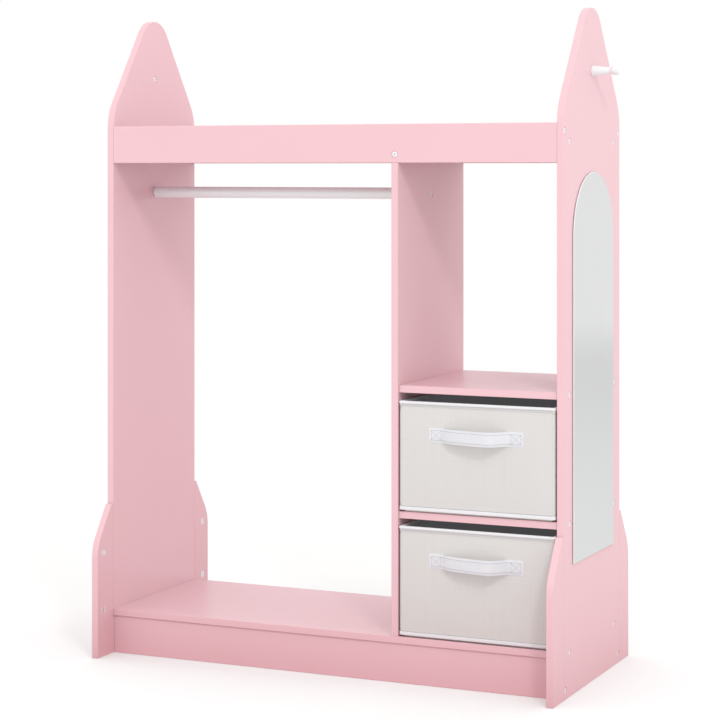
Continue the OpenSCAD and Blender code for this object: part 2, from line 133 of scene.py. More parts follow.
def named(name):
    """Names the primitive that was just added and moves its place into its mesh."""
    piece = bpy.context.active_object
    piece.name = name
    piece.data.name = name
    bpy.ops.object.transform_apply(location=True, rotation=True, scale=True)
    return piece


def pick(piece, kind, test):
    """Edit mode with only the FACE, EDGE or VERT elements selected that pass the test.

    The test gets an element's middle and its direction: a normal, or an edge's run."""
    work_on(piece)
    bpy.ops.object.mode_set(mode="EDIT")
    bpy.ops.mesh.select_mode(type=kind)
    bpy.ops.mesh.select_all(action="DESELECT")
    leave_edit()
    mesh = piece.data
    if kind == "FACE":
        for face in mesh.polygons:
            face.select = test(face.center, face.normal)
    if kind == "EDGE":
        for edge in mesh.edges:
            start, end = (mesh.vertices[i].co for i in edge.vertices)
            edge.select = test((start + end) / 2, (end - start).normalized())
    if kind == "VERT":
        for point in mesh.vertices:
            point.select = test(point.co, point.normal)
    bpy.ops.object.mode_set(mode="EDIT")


def pick_all(piece):
    work_on(piece)
    bpy.ops.object.mode_set(mode="EDIT")
    bpy.ops.mesh.select_all(action="SELECT")


def face_outwards(piece):
    """Merges doubled points, then turns every face outwards."""
    pick_all(piece)
    bpy.ops.mesh.remove_doubles(threshold=MERGE_GAP)
    bpy.ops.mesh.normals_make_consistent(inside=False)
    leave_edit()


def slice_along(piece, axis, places):
    """Cuts a row of loops square to an axis."""
    for place in places:
        point = [place if i == axis else 0 for i in range(3)]
        normal = [1 if i == axis else 0 for i in range(3)]
        pick_all(piece)
        bpy.ops.mesh.bisect(plane_co=point, plane_no=normal)
    leave_edit()


def block(name, low, high):
    """A cube that fills the box from low to high."""
    nothing_selected()
    low, high = Vector(low), Vector(high)
    bpy.ops.mesh.primitive_cube_add(size=1, location=(low + high) / 2, scale=high - low)
    return named(name)


def apply(piece, kind, **settings):
    """Adds a modifier with these settings and applies it."""
    work_on(piece)
    modifier = piece.modifiers.new(kind.lower(), kind)
    for name, value in settings.items():
        setattr(modifier, name, value)
    bpy.ops.object.modifier_apply(modifier=modifier.name)
    return piece


def cut(piece, cutter):
    """Takes the cutter's shape out of the piece and clears the cutter away."""
    apply(piece, "BOOLEAN", operation="DIFFERENCE", object=cutter, solver="EXACT")
    bpy.data.objects.remove(cutter)


def copied(piece, name, place=Matrix.Identity(4)):
    """A copy with its own mesh, moved by a matrix."""
    twin = bpy.data.objects.new(name, piece.data.copy())
    twin.data.name = name
    twin.data.transform(place)
    bpy.context.scene.collection.objects.link(twin)
    return twin


def joined(name, parts):
    """Makes one piece of several."""
    nothing_selected()
    for part in parts:
        part.select_set(True)
    bpy.context.view_layer.objects.active = parts[0]
    bpy.ops.object.join()
    parts[0].name = name
    parts[0].data.name = name
    return parts[0]


# %% [markdown]
# Turned shapes, such as pegs, screws and cam locks, start as a filled circle that is extruded
# ring by ring and scaled to each radius, the way a lathe hand steps along a profile. `aimed`
# gives the matrix that stands such a shape on a point and turns it to face along an axis.

# %% Helpers for turned shapes
LATHE_SIDES = 32
FINE_SIDES = 48


def turned(name, rings, sides=LATHE_SIDES):
    """A solid of revolution along +Z from rings of (height, radius)."""
    nothing_selected()
    first_z, first_r = rings[0]
    bpy.ops.mesh.primitive_circle_add(
        vertices=sides, radius=first_r, fill_type="NGON", location=(0, 0, first_z))
    piece = named(name)
    pick_all(piece)
    for (low_z, low_r), (high_z, high_r) in zip(rings, rings[1:]):
        bpy.ops.mesh.extrude_region_move(
            TRANSFORM_OT_translate={"value": (0, 0, high_z - low_z)})
        share = high_r / low_r
        bpy.ops.transform.resize(value=(share, share, 1), center_override=(0, 0, high_z))
    face_outwards(piece)
    return piece


def aimed(point, along):
    """The matrix that puts +Z along a direction, with the origin on a point."""
    turn = Vector((0, 0, 1)).rotation_difference(Vector(along)).to_matrix().to_4x4()
    return Matrix.Translation(Vector(point)) @ turn

# %% [markdown]
# ## Boards
#
# The unit is cut from 12 mm fibreboard. Plain boards are blocks. The divider is notched for
# the rails, so its top is split with two bisects and only the middle is extruded upwards.

# %% Plain boards and the notched divider
BOARD_NODES = ["front_rail", "rear_rail", "top_shelf", "upper_shelf", "middle_shelf",
               "base_shelf", "front_kickboard", "rear_kickboard"]
boards = {name: block("board_" + name, *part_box(name)) for name in BOARD_NODES}

rail_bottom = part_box("rear_rail")[0].z
rail_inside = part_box("rear_rail")[0].y
low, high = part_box("divider")
divider = block("board_divider", low, (high.x, high.y, rail_bottom))
slice_along(divider, 1, (rail_inside, -rail_inside))
pick(divider, "FACE", lambda at, normal: normal.z > SQUARE_ON and abs(at.y) < rail_inside)
bpy.ops.mesh.extrude_region_move(
    TRANSFORM_OT_translate={"value": (0, 0, high.z - rail_bottom)})
boards["divider"] = divider
print("divider top", round(high.z / MM, 1), "mm, its notches", round(rail_bottom / MM, 1), "mm")

# %% [markdown]
# A pointed side panel is straight lines between true arcs: two shoulders and a tip. Bevelling
# a sharp corner by this much doesn't give a true arc, so the arcs are laid down as discs
# instead, and the outline is stretched round them as a string would be, with a convex hull.
# An ear board is made the same way, and what reaches past its joint is cut off.

# %% Pointed panels and ears
GABLE_SLOPE = math.radians(54.5)
TIP_RADIUS = 52 * MM
SHOULDER_RADIUS = 80 * MM
EAR_SLOPE = math.radians(56)
EAR_LEDGE = 6.5 * MM
EAR_RADIUS = 65 * MM
ARC_SIDES = 96
FLAT_ANGLE = math.radians(0.3)


def disc(low_x, high_x, y, z, radius):
    """A disc that lies across the unit."""
    nothing_selected()
    bpy.ops.mesh.primitive_cylinder_add(
        vertices=ARC_SIDES, radius=radius, depth=high_x - low_x,
        location=((low_x + high_x) / 2, y, z), rotation=(0, math.pi / 2, 0))
    return named("disc")


def stretched_round(name, parts):
    """The convex outline round several parts, with its flat faces whole."""
    piece = joined(name, parts)
    pick_all(piece)
    bpy.ops.mesh.convex_hull()
    bpy.ops.mesh.select_all(action="SELECT")
    bpy.ops.mesh.dissolve_limited(angle_limit=FLAT_ANGLE)
    face_outwards(piece)
    return piece


def pointed_panel(node):
    low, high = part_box(node)
    tip_z = high.z - TIP_RADIUS
    join_y = TIP_RADIUS * math.sin(GABLE_SLOPE)
    join_z = tip_z + TIP_RADIUS * math.cos(GABLE_SLOPE)
    corner_z = join_z - (high.y - join_y) * math.tan(GABLE_SLOPE)
    shoulder_z = corner_z - SHOULDER_RADIUS * math.tan((math.pi / 2 - GABLE_SLOPE) / 2)
    shoulder_y = high.y - SHOULDER_RADIUS
    parts = [block("upright", low, (high.x, high.y, shoulder_z)),
             disc(low.x, high.x, 0, tip_z, TIP_RADIUS)]
    for side in (-1, 1):
        parts.append(disc(low.x, high.x, side * shoulder_y, shoulder_z, SHOULDER_RADIUS))
    return stretched_round("board_" + node, parts)


def ear(node):
    low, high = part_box(node)
    way = 1 if high.y > 0 else -1
    joint = low.y if way > 0 else high.y
    width = high.y - low.y
    corner_z = high.z - (width - EAR_LEDGE) * math.tan(EAR_SLOPE)
    curve_z = corner_z - EAR_RADIUS * math.tan((math.pi / 2 - EAR_SLOPE) / 2)
    ledge = joint + way * EAR_LEDGE
    rim = joint + way * width
    parts = [block("ledge", (low.x, min(joint, ledge), low.z), (high.x, max(joint, ledge), high.z)),
             block("foot", low, (high.x, high.y, curve_z)),
             disc(low.x, high.x, rim - way * EAR_RADIUS, curve_z, EAR_RADIUS)]
    piece = stretched_round("board_" + node, parts)
    pick_all(piece)
    bpy.ops.mesh.bisect(
        plane_co=(0, joint, 0), plane_no=(0, -way, 0), use_fill=True, clear_outer=True)
    face_outwards(piece)
    return piece


for name in ("left_side_panel", "right_side_panel"):
    boards[name] = pointed_panel(name)
for name in ("left_front_ear", "left_rear_ear", "right_front_ear", "right_rear_ear"):
    boards[name] = ear(name)
print("made", len(boards), "boards")

# %% [markdown]
# ## Eased edges and holes
#
# Paint never sits on a knife edge, so the maker eases every arris with sandpaper first. The
# eased edges catch the light and draw the fine dark lines where two boards meet. The holes
# for screws, dowels and cam locks are found from the fasteners themselves: each loose solid
# of a fastener node says where it sits and which way it was driven.

# %% Find where each fastener sits
EASE = 1.1 * MM
NEAR = 0.1 * MM
SCREW_NODES = ("panel_screws", "rod_screws", "peg_screws")


def fasteners_in(node):
    """(head point, direction into the board, length) of each loose solid in a node."""
    spare = copied(frame["nodes"][node], "spare")
    face_outwards(spare)
    pick_all(spare)
    bpy.ops.mesh.separate(type="LOOSE")
    leave_edit()
    found = []
    for part in list(bpy.context.selected_objects):
        points = [v.co.copy() for v in part.data.vertices]
        low = Vector(min(p[i] for p in points) for i in range(3))
        high = Vector(max(p[i] for p in points) for i in range(3))
        size = high - low
        middle = (low + high) / 2
        long_way = max(range(3), key=lambda i: size[i])

        def spread(end):
            near = [p for p in points if abs(p[long_way] - end) < NEAR]
            return max((p - middle).length_squared - (p - middle)[long_way] ** 2 for p in near)

        head_low = spread(low[long_way]) > spread(high[long_way])
        head, along = middle.copy(), Vector((0, 0, 0))
        head[long_way] = low[long_way] if head_low else high[long_way]
        along[long_way] = 1 if head_low else -1
        found.append((head, along, size[long_way]))
        bpy.data.objects.remove(part)
    return found


screws = [f for node in SCREW_NODES for f in fasteners_in(node)]
dowels = fasteners_in("wood_dowels")
bolts = fasteners_in("ear_cam_bolts")
print(len(screws), "screws,", len(dowels), "dowels,", len(bolts), "cam bolts")

# %% [markdown]
# The room for a screw is one turned cutter: a flared mouth, the recess that stays open as a
# ring round the head, the seat of its cone and the hole of its shank. A cutter is turned for
# each fastener and set into every board that the fastener crosses.

# %% Cut the holes and ease the boards
HEAD_RADIUS = 4.8 * MM
SHANK_RADIUS = 2.5 * MM
HEAD_RIM = 0.8 * MM
HEAD_SINK = 0.5 * MM
CONE_HEIGHT = HEAD_RADIUS - SHANK_RADIUS
RING_WIDTH = 0.9 * MM
HOLE_GAP = 0.05 * MM
MOUTH_FLARE = 0.35 * MM
CLEAR = 2 * MM
DOWEL_RADIUS = 3 * MM
BOLT_ROOM = 3.05 * MM
HALF_BOARD = 6 * MM
CAM_RADIUS = 6 * MM
CAM_IN = 32 * MM
CAM_DEPTH = 9.2 * MM
SHARP_ANGLE = 40


def screw_room(length):
    ring = HEAD_RADIUS + RING_WIDTH
    shank = SHANK_RADIUS + HOLE_GAP
    return turned("screw_room", [
        (-CLEAR, ring + MOUTH_FLARE), (-HEAD_SINK, ring + MOUTH_FLARE),
        (-HEAD_SINK + MOUTH_FLARE, ring), (HEAD_RIM - HOLE_GAP, ring),
        (HEAD_RIM - HOLE_GAP, HEAD_RADIUS + HOLE_GAP), (HEAD_RIM + CONE_HEIGHT, shank),
        (length + HOLE_GAP, shank)])


def hole_room(length, radius):
    return turned("hole_room", [(-HOLE_GAP, radius), (length + HOLE_GAP, radius)])


def cam_places():
    """(middle of the cam's outer face, direction into the ear) for each cam lock."""
    places = []
    for head, along, length in bolts:
        inward = -1 if head.x > 0 else 1
        low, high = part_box("right_side_panel" if head.x > 0 else "left_side_panel")
        joint = math.copysign(high.y, head.y)
        face_x = (low.x + high.x) / 2 + inward * HALF_BOARD
        where = Vector((face_x, joint - along.y * CAM_IN, head.z))
        places.append((where, Vector((-inward, 0, 0))))
    return places


rooms = []
for head, along, length in screws:
    rooms.append((head, along, length, screw_room(length), HEAD_RADIUS + RING_WIDTH))
for head, along, length in dowels:
    rooms.append((head, along, length, hole_room(length, DOWEL_RADIUS + HOLE_GAP), DOWEL_RADIUS))
for head, along, length in bolts:
    rooms.append((head, along, length, hole_room(length, BOLT_ROOM), BOLT_ROOM))
for where, along in cam_places():
    room = turned("cam_room", [
        (-CLEAR, CAM_RADIUS + MOUTH_FLARE), (0, CAM_RADIUS + MOUTH_FLARE),
        (MOUTH_FLARE, CAM_RADIUS + HOLE_GAP), (CAM_DEPTH + HOLE_GAP, CAM_RADIUS + HOLE_GAP)],
        FINE_SIDES)
    rooms.append((where, along, CAM_DEPTH, room, CAM_RADIUS))


def crosses(node, head, along, length, radius):
    """True if a fastener's own room reaches into a board."""
    low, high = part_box(node)
    for i in range(3):
        ends = sorted((head[i], (head + along * length)[i]))
        reach = 0 if abs(along[i]) > 0.5 else radius
        if ends[0] - reach > high[i] - HOLE_GAP or ends[1] + reach < low[i] + HOLE_GAP:
            return False
    return True


def eased(piece, width, segments=3):
    """Rounds every sharp arris, as sandpaper does."""
    return apply(piece, "BEVEL", width=width, segments=segments, limit_method="ANGLE",
                 angle_limit=math.radians(SHARP_ANGLE), use_clamp_overlap=False)


def smooth(piece, degrees=SHARP_ANGLE):
    """Smooth shading, except where two faces meet at more than this angle."""
    work_on(piece)
    bpy.ops.object.shade_smooth_by_angle(angle=math.radians(degrees))


def shaded(piece):
    """Smooth shading that leaves the large flat faces flat."""
    smooth(piece)
    apply(piece, "WEIGHTED_NORMAL", keep_sharp=True, weight=100)


for node, board in boards.items():
    eased(board, EASE)
    cutters = [copied(room, "room", aimed(head, along))
               for head, along, length, room, radius in rooms
               if crosses(node, head, along, length, radius)]
    if cutters:
        cut(board, joined("rooms", cutters))
    shaded(board)
    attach(board, "unit")
    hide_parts(node)
for head, along, length, room, radius in rooms:
    bpy.data.objects.remove(room)
print("cut", len(rooms), "holes into", len(boards), "boards")

# %% [markdown]
# ## Fasteners
#
# The heads of the screws stay in sight, so they are worth a real head: a rounded rim, a
# hexagon socket for the key in the box, and a threaded shank that bites into the board. One
# screw is turned for each of the three kinds and copied to every place. The thread is a row of
# rings, because inside a board nobody sees that it should climb.

# %% Screws
RIM_ROUND = 0.3 * MM
RIM_MIDDLE = 0.3
THREAD_PITCH = 1.6 * MM
THREAD_DEPTH = 0.6 * MM
THREAD_FROM = 0.3
THREAD_FLAT = 0.6
THREAD_CREST = 0.8
POINT_BLUNT = 0.15
SOCKET_RADIUS = 1.9 * MM
SOCKET_DEPTH = 2 * MM
SOCKET_SIDES = 6
SCREW_SIDES = 24
SMALL_PART_ANGLE = 35


def screw(length):
    eased_in = RIM_ROUND * RIM_MIDDLE
    root = SHANK_RADIUS - THREAD_DEPTH
    rings = [(0, HEAD_RADIUS - RIM_ROUND), (eased_in, HEAD_RADIUS - eased_in),
             (RIM_ROUND, HEAD_RADIUS), (HEAD_RIM, HEAD_RADIUS),
             (HEAD_RIM + CONE_HEIGHT, SHANK_RADIUS)]
    z = length * THREAD_FROM
    point_z = length - 2 * SHANK_RADIUS
    while z + THREAD_PITCH < point_z:
        rings += [(z, root), (z + THREAD_PITCH * THREAD_FLAT, root),
                  (z + THREAD_PITCH * THREAD_CREST, SHANK_RADIUS)]
        z += THREAD_PITCH
    rings += [(point_z, root), (length, SHANK_RADIUS * POINT_BLUNT)]
    piece = turned("screw", rings, SCREW_SIDES)
    cut(piece, turned("socket", [(-MM, SOCKET_RADIUS), (SOCKET_DEPTH, SOCKET_RADIUS)],
                      SOCKET_SIDES))
    smooth(piece, SMALL_PART_ANGLE)
    return piece


for node in SCREW_NODES:
    places = fasteners_in(node)
    model = screw(places[0][2])
    row = joined("turned_" + node, [copied(model, "one", aimed(head, along))
                                    for head, along, length in places])
    bpy.data.objects.remove(model)
    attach(row, "unit")
    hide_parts(node)
    print(node, len(places), "screws", len(row.data.polygons), "faces")

# %% [markdown]
# A cam lock is a small casting with a raised rim and a cross slot. A turn of the screwdriver
# draws the bolt's head in, and with it the ear board against the panel. Its slot is cut with
# two thin blocks, and the pocket for the bolt's head with a turned cutter from the side.

# %% Cam locks
CAM_RIM = 0.9 * MM
CAM_DISH = 0.5 * MM
SLOT_WIDTH = 1.5 * MM
SLOT_DEPTH = 1.7 * MM


def cam_lock():
    piece = turned("cam_lock", [
        (CAM_DISH, CAM_RADIUS - CAM_RIM - CAM_DISH), (0, CAM_RADIUS - CAM_RIM),
        (0, CAM_RADIUS - RIM_ROUND), (RIM_ROUND, CAM_RADIUS), (CAM_DEPTH, CAM_RADIUS)],
        FINE_SIDES)
    reach = CAM_RADIUS - CAM_RIM - CAM_DISH
    for across, down in ((reach, SLOT_WIDTH / 2), (SLOT_WIDTH / 2, reach)):
        cut(piece, block("slot", (-across, -down, -MM), (across, down, SLOT_DEPTH)))
    pocket = turned("pocket", [(-BOLT_ROOM, BOLT_ROOM), (2 * CAM_RADIUS, BOLT_ROOM)])
    pocket.data.transform(aimed((0, 0, HALF_BOARD), (0, -1, 0)))
    cut(piece, pocket)
    smooth(piece, SMALL_PART_ANGLE)
    return piece


model = cam_lock()
locks = []
for (where, along), (head, way, length) in zip(cam_places(), bolts):
    turn = Matrix((along.cross(-way), -way, along)).transposed().to_4x4()
    locks.append(copied(model, "lock", Matrix.Translation(where) @ turn))
bpy.data.objects.remove(model)
cams = joined("cast_cam_locks", locks)
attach(cams, "unit")
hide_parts("ear_cams")
print("cam locks:", len(cams.data.polygons), "faces")

# %% [markdown]
# ## Rod, pegs and mirror
#
# The rod and the two pegs are turned from beech and lacquered white. A peg tapers from its
# foot to a neck that keeps a strap from slipping, and flares again into a rounded knob.

# %% Rod and pegs
ROD_END_RADIUS = 3 * MM
ROD_SIDES = 64
ROD_END_STEPS = 6


def rounded_end(z, radius, corner, way, steps):
    """Rings of a quarter round at an end: way is 1 for a top and -1 for a bottom."""
    turns = [math.pi / 2 * i / steps for i in range(steps + 1)]
    if way < 0:
        turns.reverse()
    return [(z - way * corner * (1 - math.sin(t)), radius - corner * (1 - math.cos(t)))
            for t in turns]


def screwed(piece, screw_node, side=0):
    """Cuts room for the screws of a node, or only for those on one side of the unit."""
    for head, along, length in fasteners_in(screw_node):
        if head.x * side >= 0:
            room = screw_room(length)
            room.data.transform(aimed(head, along))
            cut(piece, room)


low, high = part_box("clothes_rod")
rod_radius = (high.z - low.z) / 2
rod_length = high.x - low.x
rod = turned("turned_rod", [
    ring for z, way in ((0, -1), (rod_length, 1))
    for ring in rounded_end(z, rod_radius, ROD_END_RADIUS, way, ROD_END_STEPS)], ROD_SIDES)
rod.data.transform(aimed((low.x, 0, (low.z + high.z) / 2), (1, 0, 0)))
screwed(rod, "rod_screws")
shaded(rod)
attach(rod, "unit")
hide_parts("clothes_rod")

PEG_NECK_RADIUS = 5.2 * MM
PEG_NECK_AT = 30 * MM
PEG_KNOB_RADIUS = 7.5 * MM
PEG_RIM_ROUND = 3.4 * MM
PEG_FOOT_EASE = 0.5 * MM
PEG_STEPS = 8


def peg(node, side):
    low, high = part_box(node)
    foot_radius = (high.z - low.z) / 2
    length = high.x - low.x
    knob_at = (PEG_NECK_AT + length - PEG_RIM_ROUND) / 2
    steps = [(i + 1) / PEG_STEPS for i in range(PEG_STEPS)]
    foot = [(0, foot_radius - PEG_FOOT_EASE), (PEG_FOOT_EASE, foot_radius)]
    taper = [(PEG_NECK_AT * share, foot_radius + (PEG_NECK_RADIUS - foot_radius) * share)
             for share in steps]
    flare = [(PEG_NECK_AT + (knob_at - PEG_NECK_AT) * share,
              PEG_NECK_RADIUS + (PEG_KNOB_RADIUS - PEG_NECK_RADIUS)
              * (1 - math.cos(math.pi * share)) / 2) for share in steps]
    knob = rounded_end(length, PEG_KNOB_RADIUS, PEG_RIM_ROUND, 1, PEG_STEPS)
    piece = turned("turned_" + node, foot + taper + flare + knob, FINE_SIDES)
    foot_x = low.x if side > 0 else high.x
    piece.data.transform(aimed((foot_x, 0, (low.z + high.z) / 2), (side, 0, 0)))
    screwed(piece, "peg_screws", side)
    smooth(piece, SMALL_PART_ANGLE)
    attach(piece, "unit")
    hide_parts(node)
    return piece


pegs = [peg("left_peg", -1), peg("right_peg", 1)]
print("rod", round(rod_length / MM), "mm long; pegs", [len(p.data.polygons) for p in pegs])

# %% [markdown]
# The mirror is a thin sheet with a half-round top, stuck to the panel with foam tape. It is
# stretched round a block and a disc like the panels, and its edges are ground to a narrow
# bevel. The edge gets its own finish, because only the faces are silvered.

# %% Mirror
MIRROR_BEVEL = 0.6 * MM
MIRROR_ANGLE = 20

low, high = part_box("mirror")
arch_radius = (high.y - low.y) / 2
arch_z = high.z - arch_radius
mirror = stretched_round("arched_mirror", [
    block("sheet", low, (high.x, high.y, arch_z)), disc(low.x, high.x, 0, arch_z, arch_radius)])
eased(mirror, MIRROR_BEVEL, 1)
smooth(mirror, MIRROR_ANGLE)
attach(mirror, "unit")
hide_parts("mirror")
print("mirror", round((high.y - low.y) / MM), "x", round((high.z - low.z) / MM), "mm")

# %% [markdown]
# ## Fabric bins
#
# A bin is sewn from stiff woven cloth over cards, with a charcoal lining, and its raw edges
# are bound in white tape. Cloth over a card is nearly flat but never quite: it pulls in at
# the seams and stands proud between them. So each cloth layer is cut as an open box with
# enough loops to bend. One bin is made in the upper bay and copied down to the lower bay.

# %% Cut a cloth box
CLOTH_STEP = 9 * MM
SEAM_IN = 4 * MM
LINING_THICK = 0.8 * MM
SHELL_HEM = 8 * MM
SHELL_CORNER = 3 * MM
LINING_HEM = 6 * MM
LINING_CORNER = 2 * MM
CORNER_STEPS = 3
FLAT_OF_HEM = 0.55
FLOOR_MIDDLE = 20 * MM
UPRIGHT = 0.99

shell_low, shell_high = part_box("upper_bin_shell")
lining_low, lining_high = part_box("upper_bin_lining")
tape_low, tape_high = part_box("upper_bin_top_tape")
band_low, band_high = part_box("upper_bin_bottom_tape")
bin_drop = shell_low.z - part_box("lower_bin_shell")[0].z
cloth_thick = lining_low.z - shell_low.z
belly = band_low.z - shell_low.z
rim_binding = shell_high.z - tape_low.z
hem_binding = band_high.z - band_low.z


def steps_between(low, high, step):
    count = max(1, round((high - low) / step))
    return [low + (high - low) * i / count for i in range(count + 1)]


def cloth_box(name, low, high, hem_width, corner):
    """An open box of cloth whose floor hangs inside its hem."""
    hem_z = low.z + belly
    piece = block(name, (low.x, low.y, hem_z), high)
    pick(piece, "FACE", lambda middle, normal: normal.z > SQUARE_ON)
    bpy.ops.mesh.delete(type="FACE")
    for share, drop in ((FLAT_OF_HEM, 0), (1 - FLAT_OF_HEM, belly)):
        pick(piece, "FACE", lambda middle, normal: normal.z < -SQUARE_ON
             and (middle.xy - (low + high).xy / 2).length < FLOOR_MIDDLE)
        bpy.ops.mesh.inset(thickness=hem_width * share, depth=drop)
    pick(piece, "EDGE", lambda middle, run: abs(run.z) > UPRIGHT and middle.z > hem_z)
    bpy.ops.mesh.bevel(offset=corner, segments=CORNER_STEPS)
    spans = ((low.x + SEAM_IN, high.x - SEAM_IN), (low.y + SEAM_IN, high.y - SEAM_IN),
             (hem_z + hem_binding, high.z - rim_binding))
    for axis, span in enumerate(spans):
        slice_along(piece, axis, steps_between(*span, CLOTH_STEP))
    return piece


shell = cloth_box("sewn_upper_bin", shell_low, shell_high, SHELL_HEM, SHELL_CORNER)
lining = cloth_box("sewn_upper_lining", lining_low, lining_high, LINING_HEM, LINING_CORNER)
print("shell", len(shell.data.polygons), "faces, lining", len(lining.data.polygons), "faces")

# %% [markdown]
# The seams are pinned with a vertex group, and Blender's cloth simulation blows the free cloth
# outwards. Only the shape of that bulge is wanted, not its size, so the moves are scaled until
# the proudest point stands 1.1 mm off its card. The rows beside the bindings are tucked in a
# little, where the thread pulls the cloth down.

# %% Blow the cloth up between its seams
PROUD = 1.1 * MM
TUCK = 0.35 * MM
BLOW_FRAMES = 12
CLOTH_TENSION = 30
CLOTH_BENDING = 4
FLOOR_BOARD_EASE = 0.9 * MM


def seam_points(piece, low, high):
    """Numbers of the points on the corners, the seams beside them, the hem and the rim."""
    held = []
    for i, point in enumerate(piece.data.vertices):
        place = point.co
        edges = sorted((place.x - low.x, high.x - place.x, place.y - low.y, high.y - place.y))
        at_seam = edges[1] < SEAM_IN + NEAR
        at_rim = place.z > high.z - rim_binding - NEAR
        at_hem = place.z < low.z + belly + hem_binding + NEAR
        if at_seam or at_rim or at_hem:
            held.append(i)
    return held


def blown(piece, low, high, pressure):
    """Blows the cloth by its pressure and tells how far it went before it was scaled."""
    rest = [point.co.copy() for point in piece.data.vertices]
    seams = piece.vertex_groups.new(name="seams")
    seams.add(seam_points(piece, low, high), 1.0, "REPLACE")
    cloth = piece.modifiers.new("cloth", "CLOTH")
    cloth.settings.vertex_group_mass = "seams"
    cloth.settings.tension_stiffness = CLOTH_TENSION
    cloth.settings.bending_stiffness = CLOTH_BENDING
    cloth.settings.use_pressure = True
    cloth.settings.uniform_pressure_force = pressure
    cloth.settings.effector_weights.gravity = 0
    cloth.collision_settings.use_collision = False
    for frame_number in range(1, BLOW_FRAMES + 1):
        bpy.context.scene.frame_set(frame_number)
    work_on(piece)
    bpy.ops.object.modifier_apply(modifier="cloth")
    bpy.context.scene.frame_set(1)
    piece.vertex_groups.clear()
    moves = [point.co - place for point, place in zip(piece.data.vertices, rest)]
    farthest = max(move.length for move in moves)
    for point, place, move in zip(piece.data.vertices, rest, moves):
        point.co = place + move * PROUD / farthest
    return farthest


def tucked(piece, low, high):
    """Pulls in the rows of points that lie against the bindings."""
    shares = [1 - 2 * TUCK / (high[i] - low[i]) for i in (0, 1)]
    for z in (high.z - rim_binding, low.z + belly + hem_binding):
        pick(piece, "VERT", lambda place, normal: abs(place.z - z) < NEAR)
        bpy.ops.transform.resize(value=(*shares, 1), center_override=(low + high) / 2)
    leave_edit()


print("shell blew out", round(blown(shell, shell_low, shell_high, 1) / MM, 1), "mm")
blown(lining, lining_low, lining_high, -1)
tucked(shell, shell_low, shell_high)
apply(shell, "SOLIDIFY", thickness=cloth_thick, offset=-1)
apply(lining, "SOLIDIFY", thickness=LINING_THICK, offset=-1)
floor_board = eased(block("upper_bin_floor", *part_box("upper_bin_floor_board")), FLOOR_BOARD_EASE)

# %% [markdown]
# The bindings are rings with a made section: a loop of edges is drawn round the bin, then
# extruded from point to point of the section and scaled outwards or inwards each time. The
# tape over the rim is a soft roll above a flat flap that its stitches hold down. The band
# round the hem is nearly flat.

# %% Bindings
RING_CORNER_STEPS = 4
TAPE_ROLL = [
    (0.05, 0), (0.3, 0.01), (0.4, 0.06), (0.35, 0.4), (0.5, 0.46), (1.0, 0.52),
    (1.3, 0.62), (1.4, 0.73), (1.2, 0.85), (0.6, 0.94), (-0.5, 0.99), (-2, 1),
    (-3.5, 0.99), (-4.5, 0.94), (-5, 0.85), (-5.1, 0.72), (-5, 0.58), (-4.5, 0.46),
    (-4.4, 0.06), (-4.05, 0), (-4.05, 0.9), (0.05, 0.9)]
HEM_BAND = [
    (0.05, 0), (0.4, 0.02), (0.55, 0.12), (0.6, 0.5), (0.55, 0.88), (0.4, 0.98), (0.05, 1)]


def bound_ring(name, foot_z, head_z, section):
    """A closed ring round the shell. Section points are (mm outward, share of its height)."""
    nothing_selected()
    section = [(out * MM, foot_z + up * (head_z - foot_z)) for out, up in section]
    centre = (shell_low + shell_high) / 2
    width, depth = (shell_high - shell_low).xy
    first_out, first_z = section[0]
    bpy.ops.mesh.primitive_plane_add(size=1, location=(centre.x, centre.y, first_z))
    bpy.context.active_object.scale = (width + 2 * first_out, depth + 2 * first_out, 1)
    piece = named(name)
    pick(piece, "VERT", lambda place, normal: True)
    bpy.ops.mesh.bevel(offset=SHELL_CORNER, segments=RING_CORNER_STEPS, affect="VERTICES")
    bpy.ops.mesh.delete(type="ONLY_FACE")
    bpy.ops.mesh.select_mode(type="EDGE")
    bpy.ops.mesh.select_all(action="SELECT")
    for (out, z), (next_out, next_z) in zip(section, section[1:] + section[:1]):
        bpy.ops.mesh.extrude_edges_move(TRANSFORM_OT_translate={"value": (0, 0, next_z - z)})
        bpy.ops.transform.resize(
            value=((width + 2 * next_out) / (width + 2 * out),
                   (depth + 2 * next_out) / (depth + 2 * out), 1),
            center_override=(centre.x, centre.y, next_z))
    face_outwards(piece)
    return piece


top_tape = bound_ring("upper_bin_rim_tape", tape_low.z, tape_high.z, TAPE_ROLL)
hem_band = bound_ring("upper_bin_hem_band", band_low.z, band_high.z, HEM_BAND)
print("rim tape", len(top_tape.data.polygons), "faces, hem band", len(hem_band.data.polygons))

# %% [markdown]
# The handle is flat webbing. It is modelled flat and straight at its full length, with plain
# edges and raised ribs between them, and then a Curve modifier bends it: both ends lie on
# the bin and the middle bows out. The bending line is the engineering model's own, with the
# same shares of half length and bow.

# %% The line of the handle
HANDLE_SHARES = [
    (-1, 0), (-0.86, 0), (-0.72, 0), (-0.6, 0.3), (-0.38, 0.6), (-0.02, 0.86),
    (0.3, 1), (0.44, 0.85), (0.58, 0.36), (0.7, 0), (0.86, 0), (1, 0)]
HANDLE_STEPS = 8
WEBBING = 1.6 * MM

handle_low, handle_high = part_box("upper_bin_handle")
half_length = (handle_high.x - handle_low.x) / 2
handle_bow = handle_high.y - handle_low.y - WEBBING
handle_mid_x = (handle_low.x + handle_high.x) / 2
webbing_wide = handle_high.z - handle_low.z


def eased_between(a, b, c, d, t):
    """A smooth curve through b and c, with a and d beyond them."""
    return 0.5 * (2 * b + (c - a) * t + (2 * a - 5 * b + 4 * c - d) * t * t
                  + (3 * b - a - 3 * c + d) * t * t * t)


